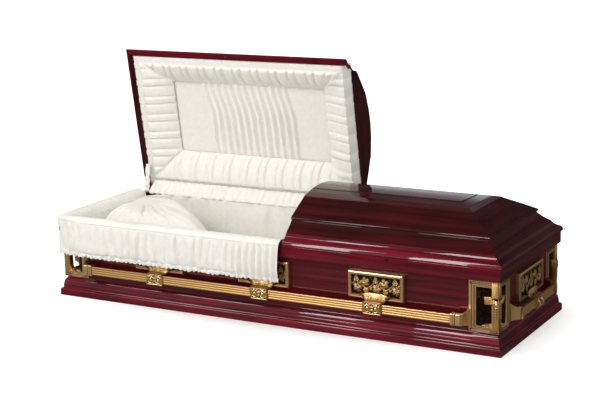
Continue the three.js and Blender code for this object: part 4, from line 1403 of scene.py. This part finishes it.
def make_lug(half, low, high):
    lug = lug_plate(half, low, high)
    join_into(lug, lug_arm(bmesh.new(), low))
    steps = (0, 0.0010, 0.0025, 0.0040)
    columns = grid_lines(-CLAMP_WIDE, CLAMP_WIDE, steps, 0.0011)
    rows = grid_lines(BAR_LOW - 0.0055, BAR_HIGH + 0.0055, steps, 0.0011)
    return join_into(lug, relief_slab(columns, rows, clamp_height, CLAMP_IN))


LUG_SPREAD = 0.512
lug_places = [
    (side, along, place) for side in ("front", "back")
    for along, place in ((-LUG_SPREAD, "head"), (0.0, "middle"), (LUG_SPREAD, "foot"))
]
side_lug = make_lug(0.1205, 0.163, 0.272)
end_lug = make_lug(0.132, 0.160, 0.275)
for side, along, place in [*lug_places, ("foot", 0.0, "end"), ("head", 0.0, "end")]:
    bm = (end_lug if place == "end" else side_lug).copy()
    lug = new_piece(f"lug_casting_{side}_{place}", placed(bm, side, along), gilt_cast, smooth=40)
    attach(lug, "root")
    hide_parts(f"lug_{side}_{place}")
side_lug.free()
end_lug.free()

# Corner castings
# One casting clasps each slanting corner: two moulded frames that meet at a cross, a textured plate behind
# it, a ledge above and below, and a neck for each bar. A cloth hangs over the cross and leaves stand at its
# foot.
CORNER = (WALL[0] + 0.010, WALL[1] + 0.010)
CORNER_LEG = 0.124
CORNER_LOW, CORNER_HIGH = 0.086, 0.286
FRAME_MOULD = [
    (0, 0.0096, 0.5), (0, 0.0050, 0.9), (0.0008, 0.0042, 1), (0.0048, 0.0040, 0.9), (0.0056, 0.0030, 0.15),
    (0.0062, 0.0010, 0.8), (0.0078, 0, 1), (0.0112, 0.0002, 1), (0.0126, 0.0018, 0.25), (0.0140, 0.0018, 0.3),
    (0.0154, 0.0002, 1), (0.0206, 0.0002, 1), (0.0222, 0.0016, 0.8), (0.0236, 0.0040, 0.2),
    (0.0250, 0.0030, 0.9), (0.0286, 0.0030, 1), (0.0300, 0.0048, 1), (0.0300, 0.0096, 0.4),
]


def corner_frame(bm, reach, out):
    """One open frame on the front face; reach is where the corner stands and out how far its face does."""
    stations = []
    narrow = 0.023 / 0.030
    for station in range(4):
        ring = []
        for edge, deep, _ in FRAME_MOULD:
            x = reach - deep if station in (0, 3) else reach - CORNER_LEG + edge
            z = CORNER_LOW + edge * narrow if station < 2 else CORNER_HIGH - edge * narrow
            ring.append(Vector((x, -out + deep, z)))
        stations.append(ring)
    loft(bm, stations)
    layer = worn_layer(bm)
    for vert in bm.verts:
        deep = vert.co.y + out
        rise = min(vert.co.z - CORNER_LOW, CORNER_HIGH - vert.co.z)
        edge = min(vert.co.x - reach + CORNER_LEG, rise / narrow)
        vert[layer] = min(FRAME_MOULD, key=lambda p: abs(p[0] - edge) + abs(p[1] - deep))[2]
    return bm


def neck_ring(x, face, back, low, high, round_by):
    """A rounded upright rectangle, as the section of a bar's neck."""
    ring = []
    for y, z, start in ((-face, low, 3), (-back, low, 4), (-back, high, 1), (-face, high, 2)):
        centre = Vector((x, y + round_by * (1 if y == -face else -1), z + round_by * (1 if z == low else -1)))
        for k in range(5):
            turn = math.pi / 2 * (start - 1 + k / 4)
            ring.append(centre + round_by * Vector((0, math.cos(turn), math.sin(turn))))
    return ring


def neck(bm, end, wall_edge, out):
    """The sleeve that takes a bar's end and flares into the frame."""
    face, back = BAR_OUT + 0.005, BAR_IN - 0.005
    low, high = BAR_LOW - 0.005, BAR_HIGH + 0.005
    stations = [
        (end, face - 0.002, back + 0.002, low + 0.002, high - 0.002, 0.003, 0.6),
        (end + 0.002, face, back, low, high, 0.003, 1),
        (end + 0.010, face, back, low, high, 0.003, 1),
        (end + 0.0115, face - 0.002, back + 0.002, low + 0.002, high - 0.002, 0.003, 0.2),
        (end + 0.013, face, back, low, high, 0.003, 1),
        (end + 0.018, face + 0.0006, back, low, high, 0.003, 1),
        (end + 0.0195, face - 0.002, back + 0.002, low + 0.002, high - 0.002, 0.003, 0.2),
        (end + 0.021, face, back, low, high, 0.004, 1),
        (wall_edge - 0.016, face - 0.0005, back, low, high, 0.004, 1),
        (wall_edge - 0.008, face - 0.010, back - 0.008, low - 0.0015, high + 0.002, 0.004, 1),
        (wall_edge - 0.001, out + 0.014, out - 0.009, low - 0.005, high + 0.007, 0.004, 1),
        (wall_edge + 0.004, out + 0.004, out - 0.009, low - 0.011, high + 0.014, 0.004, 1),
        (wall_edge + 0.0085, out + 0.0005, out - 0.009, low - 0.014, high + 0.018, 0.003, 0.8),
    ]
    return loft(bm, [neck_ring(*station[:6]) for station in stations], [station[6] for station in stations])


def chamfered_box(bm, low, high, bevel):
    grown = bmesh.ops.create_cube(bm, size=1)["verts"]
    low, high = Vector(low), Vector(high)
    for vert in grown:
        vert.co = [between(low[i], high[i], vert.co[i] + 0.5) for i in range(3)]
        vert[worn_layer(bm)] = 1
    edges = list({edge for vert in grown for edge in vert.link_edges})
    bmesh.ops.bevel(
        bm, geom=edges, offset=bevel, offset_type="OFFSET", affect="EDGES", segments=2, profile=0.5,
        material=-1,
    )


def ledge(bm, outline, low, high):
    """A flat plate of the given plan, a little darker along its lower edge than along its upper one."""
    rings = [[(x, y, z) for x, y in outline] for z in (low, high)]
    loft(bm, rings, [0.8, 1])


def leaf_blade(bm, root, tip, side, lift):
    """A pointed cast leaf from root to tip, keeled along its middle."""
    root, tip, side, lift = Vector(root), Vector(tip), Vector(side), Vector(lift)
    rings = []
    for i in range(7):
        share = i / 6
        wide = max(math.sin(math.pi * min(share * 0.92 + 0.06, 1)) ** 0.7, 0.04)
        centre = root.lerp(tip, share) + lift * math.sin(math.pi * share * 0.9)
        up = lift.normalized() * 0.0022 * wide
        rings.append([centre + side * wide, centre + up * 1.6, centre - side * wide, centre - up])
    loft(bm, rings, [0.7, 0.9, 1, 1, 1, 1, 1])


def draped_cloth(bm):
    """Cast drapery on the cross: a swag over both arms and two tails down the post."""
    reach, out = CORNER

    def on_face(side, ring):
        if side == 0:
            return [(reach - along, -out - deep, z) for along, deep, z in ring]
        return [(reach + deep, -out + along, z) for along, deep, z in ring]

    for side in (0, 1):
        rings = []
        for i in range(15):
            share = i / 14
            along = 0.050 * (1 - share)
            top = 0.2265 - 0.010 * math.sin(math.pi / 2 * share) + 0.002 * math.cos(share * 30)
            bottom = top - 0.010 - 0.020 * math.sin(math.pi / 2 * share) ** 2
            ring = []
            for k in range(10):
                z = between(top, bottom, k / 9)
                fold = 0.0014 * math.cos(2 * math.pi * (z - 0.25 * along) / 0.0075)
                ring.append((along, 0.0034 + fold, z))
            ring += [(along, -0.0010, bottom), (along, -0.0010, top)]
            rings.append(on_face(side, ring))
        loft(bm, rings, [0.55 + 0.45 * abs(math.cos(i * 0.9)) for i in range(15)])
        rings = []
        for i in range(13):
            share = i / 12
            z = 0.205 - 0.062 * share
            half = 0.0105 * (1 - 0.35 * share)
            ring = []
            for k in range(20):
                turn = 2 * math.pi * k / 20
                deep = 0.001 + max(math.sin(turn), 0) * (0.0036 + 0.0012 * math.cos(5 * turn))
                ring.append((0.0150 + half * math.cos(turn), deep, z))
            rings.append(on_face(side, ring))
        loft(bm, rings, [0.6 + 0.4 * (i % 2) for i in range(13)])


def mirrored_to(bm, end, side):
    """The foot end's front corner, turned to one of the four corners."""
    flips = (end == "head", side == "back")
    if any(flips):
        bmesh.ops.scale(bm, vec=(-1 if flips[0] else 1, -1 if flips[1] else 1, 1), verts=bm.verts)
    if flips[0] != flips[1]:
        bmesh.ops.reverse_faces(bm, faces=bm.faces)
    return bm


def other_face(bm):
    """Carries a piece of the front face, drawn as if the corner stood at the side wall, to the end face."""
    bmesh.ops.scale(bm, vec=(-1, 1, 1), verts=bm.verts)
    bmesh.ops.reverse_faces(bm, faces=bm.faces)
    bmesh.ops.rotate(bm, matrix=Matrix.Rotation(math.pi / 2, 3, "Z"), verts=bm.verts)
    bmesh.ops.translate(bm, vec=(CORNER[0] - CORNER[1], 0, 0), verts=bm.verts)
    return bm


def corner_gilt():
    reach, out = CORNER
    bm = corner_frame(bmesh.new(), reach, out)
    join_into(bm, other_face(corner_frame(bmesh.new(), out, out)))
    join_into(bm, neck(bmesh.new(), 0.843, reach - CORNER_LEG, out))
    join_into(bm, other_face(neck(bmesh.new(), 0.176, out - CORNER_LEG, out)))
    inner_x, inner_y = WALL[0] - WALL_CORNER, -WALL[1] + WALL_CORNER
    ledge(bm, [
        (inner_x + 0.010, -out + 0.0002), (reach - 0.0002, -out + 0.0002), (reach - 0.0002, inner_y - 0.010),
        (WALL[0], inner_y - 0.010), (inner_x + 0.010, -WALL[1]),
    ], CORNER_LOW + 0.0004, CORNER_LOW + 0.0138)
    ledge(bm, [
        (reach - CORNER_LEG + 0.006, -out + 0.0046), (reach - 0.0046, -out + 0.0046),
        (reach - 0.0046, -out + CORNER_LEG - 0.006), (WALL[0] + 0.0006, -out + CORNER_LEG - 0.006),
        (WALL[0] + 0.0006, -out + 0.060), (reach - 0.060, -WALL[1] - 0.0006),
        (reach - CORNER_LEG + 0.006, -WALL[1] - 0.0006),
    ], CORNER_HIGH - 0.0096, CORNER_HIGH - 0.0004)
    for x, y, side, lift in (
        (reach - 0.078, -out + 0.014, (0, 0.004, 0.007), (0.0, -0.004, 0.006)),
        (reach - 0.052, -out + 0.004, (0, 0.003, 0.006), (0.0, -0.003, 0.012)),
        (reach - 0.014, -out + 0.078, (-0.004, 0, 0.007), (0.004, 0.0, 0.006)),
        (reach - 0.004, -out + 0.052, (-0.003, 0, 0.006), (0.003, 0.0, 0.012)),
    ):
        root = (reach - 0.026, -out + 0.026, CORNER_LOW + 0.018)
        leaf_blade(bm, root, (x, y, CORNER_LOW + 0.019), side, lift)
    draped_cloth(bm)
    return bm


def corner_cross():
    reach, out = CORNER
    post = 0.029
    bm = bmesh.new()
    worn_layer(bm)
    for low, high in (
        ((reach - post, -out, CORNER_LOW + 0.010), (reach, -out + post, CORNER_HIGH - 0.003)),
        ((reach - post - 0.030, -out, 0.198), (reach - 0.002, -out + 0.015, 0.228)),
        ((reach - 0.015, -out + 0.002, 0.198), (reach, -out + post + 0.030, 0.228)),
    ):
        chamfered_box(bm, low, high, 0.0022)
    base = post + 0.0068
    for rise, grow in ((0.0, 0.0), (0.014, -0.003), (0.025, -0.005)):
        size = base + grow
        low = (reach - size, -out + 0.0002, CORNER_LOW + rise)
        high = (reach - 0.0002, -out + size, CORNER_LOW + rise + 0.013)
        chamfered_box(bm, low, high, 0.0018)
    layer = worn_layer(bm)
    for vert in bm.verts:
        vert[layer] = 0.9 + 0.1 * noise.noise(vert.co * 60)
    return bm


def corner_plate():
    """The textured plate across the slanting corner, made facing the front and then turned."""
    inner_x, inner_y = WALL[0] - WALL_CORNER, -WALL[1] + WALL_CORNER
    middle = Vector(((inner_x + WALL[0] + 0.009) / 2, (-WALL[1] - 0.003 + inner_y - 0.006) / 2))
    half = 0.0615
    out = (middle.x - middle.y) / math.sqrt(2)

    def height(x, z):
        hill = noise.noise(Vector((x * 26, z * 30, 4)))
        rock = noise.noise(Vector((x * 90, z * 90, 9)))
        rise = 0.0014 * hill + 0.0010 * rock
        return out + rise, 0.30 + 0.30 * hill + 0.35 * rock

    columns = grid_lines(-half, half, (0, 0.001), 0.0022)
    rows = grid_lines(CORNER_LOW + 0.001, CORNER_HIGH - 0.001, (0, 0.001), 0.0022)
    bm = relief_slab(columns, rows, height, out - 0.0035)
    shift = (middle.x + middle.y) / math.sqrt(2)
    bmesh.ops.translate(bm, vec=(shift, 0, 0), verts=bm.verts)
    bmesh.ops.rotate(bm, matrix=Matrix.Rotation(math.pi / 4, 3, "Z"), verts=bm.verts)
    return bm


def corner_screws():
    """The heads of the screws in the outer corners of both frames."""
    reach, out = CORNER
    bm = bmesh.new()
    layer = worn_layer(bm)
    for x, y, turn in (
        (reach - CORNER_LEG + 0.0095, -out, 0), (reach, -out + CORNER_LEG - 0.0095, math.pi / 2),
    ):
        for z in (CORNER_LOW + 0.0085, CORNER_HIGH - 0.0085):
            head = bmesh.ops.create_icosphere(bm, subdivisions=2, radius=0.0034)["verts"]
            for vert in head:
                slot = abs(vert.co.x) < 0.0008
                vert.co.y *= 0.35 if slot else 0.55
                vert[layer] = 0.3
            spin = Matrix.Rotation(turn, 3, "Z")
            bmesh.ops.rotate(bm, matrix=spin, verts=head)
            bmesh.ops.translate(bm, vec=(x, y, z), verts=head)
    return bm


corner_parts = {
    "frame": (corner_gilt, gilt_cast), "cross": (corner_cross, gilt_brushed), "plate": (corner_plate, bronze),
    "screws": (corner_screws, bronze),
}
for part, (make_part, finish) in corner_parts.items():
    drawn = make_part()
    for end in ("head", "foot"):
        for side in ("front", "back"):
            bm = mirrored_to(drawn.copy(), end, side)
            piece = new_piece(f"corner_{part}_{end}_{side}", bm, finish, smooth=40)
            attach(piece, "root")
            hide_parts(f"corner_casting_{end}_{side}")
    drawn.free()

# Hinges and latches
# Continuous brass hinges join both lids to the back rim, and a turned latch plate sits in each front edge.
old_brass = metal(
    "old brass", (0.05, 0.03, 0.015), (0.30, 0.19, 0.09), (0.55, 0.38, 0.20), 0.35, texture=0.2, spread=1.5
)
dark_steel = metal("darkened steel", STAIN, (0.030, 0.026, 0.024), (0.10, 0.09, 0.08), 0.40, spread=1.5)
for node in frame["nodes"]:
    if node.endswith(("_rim_hinge", "_lid_hinge")):
        paint(node, old_brass)
    if node.endswith("_latch"):
        paint(node, dark_steel)
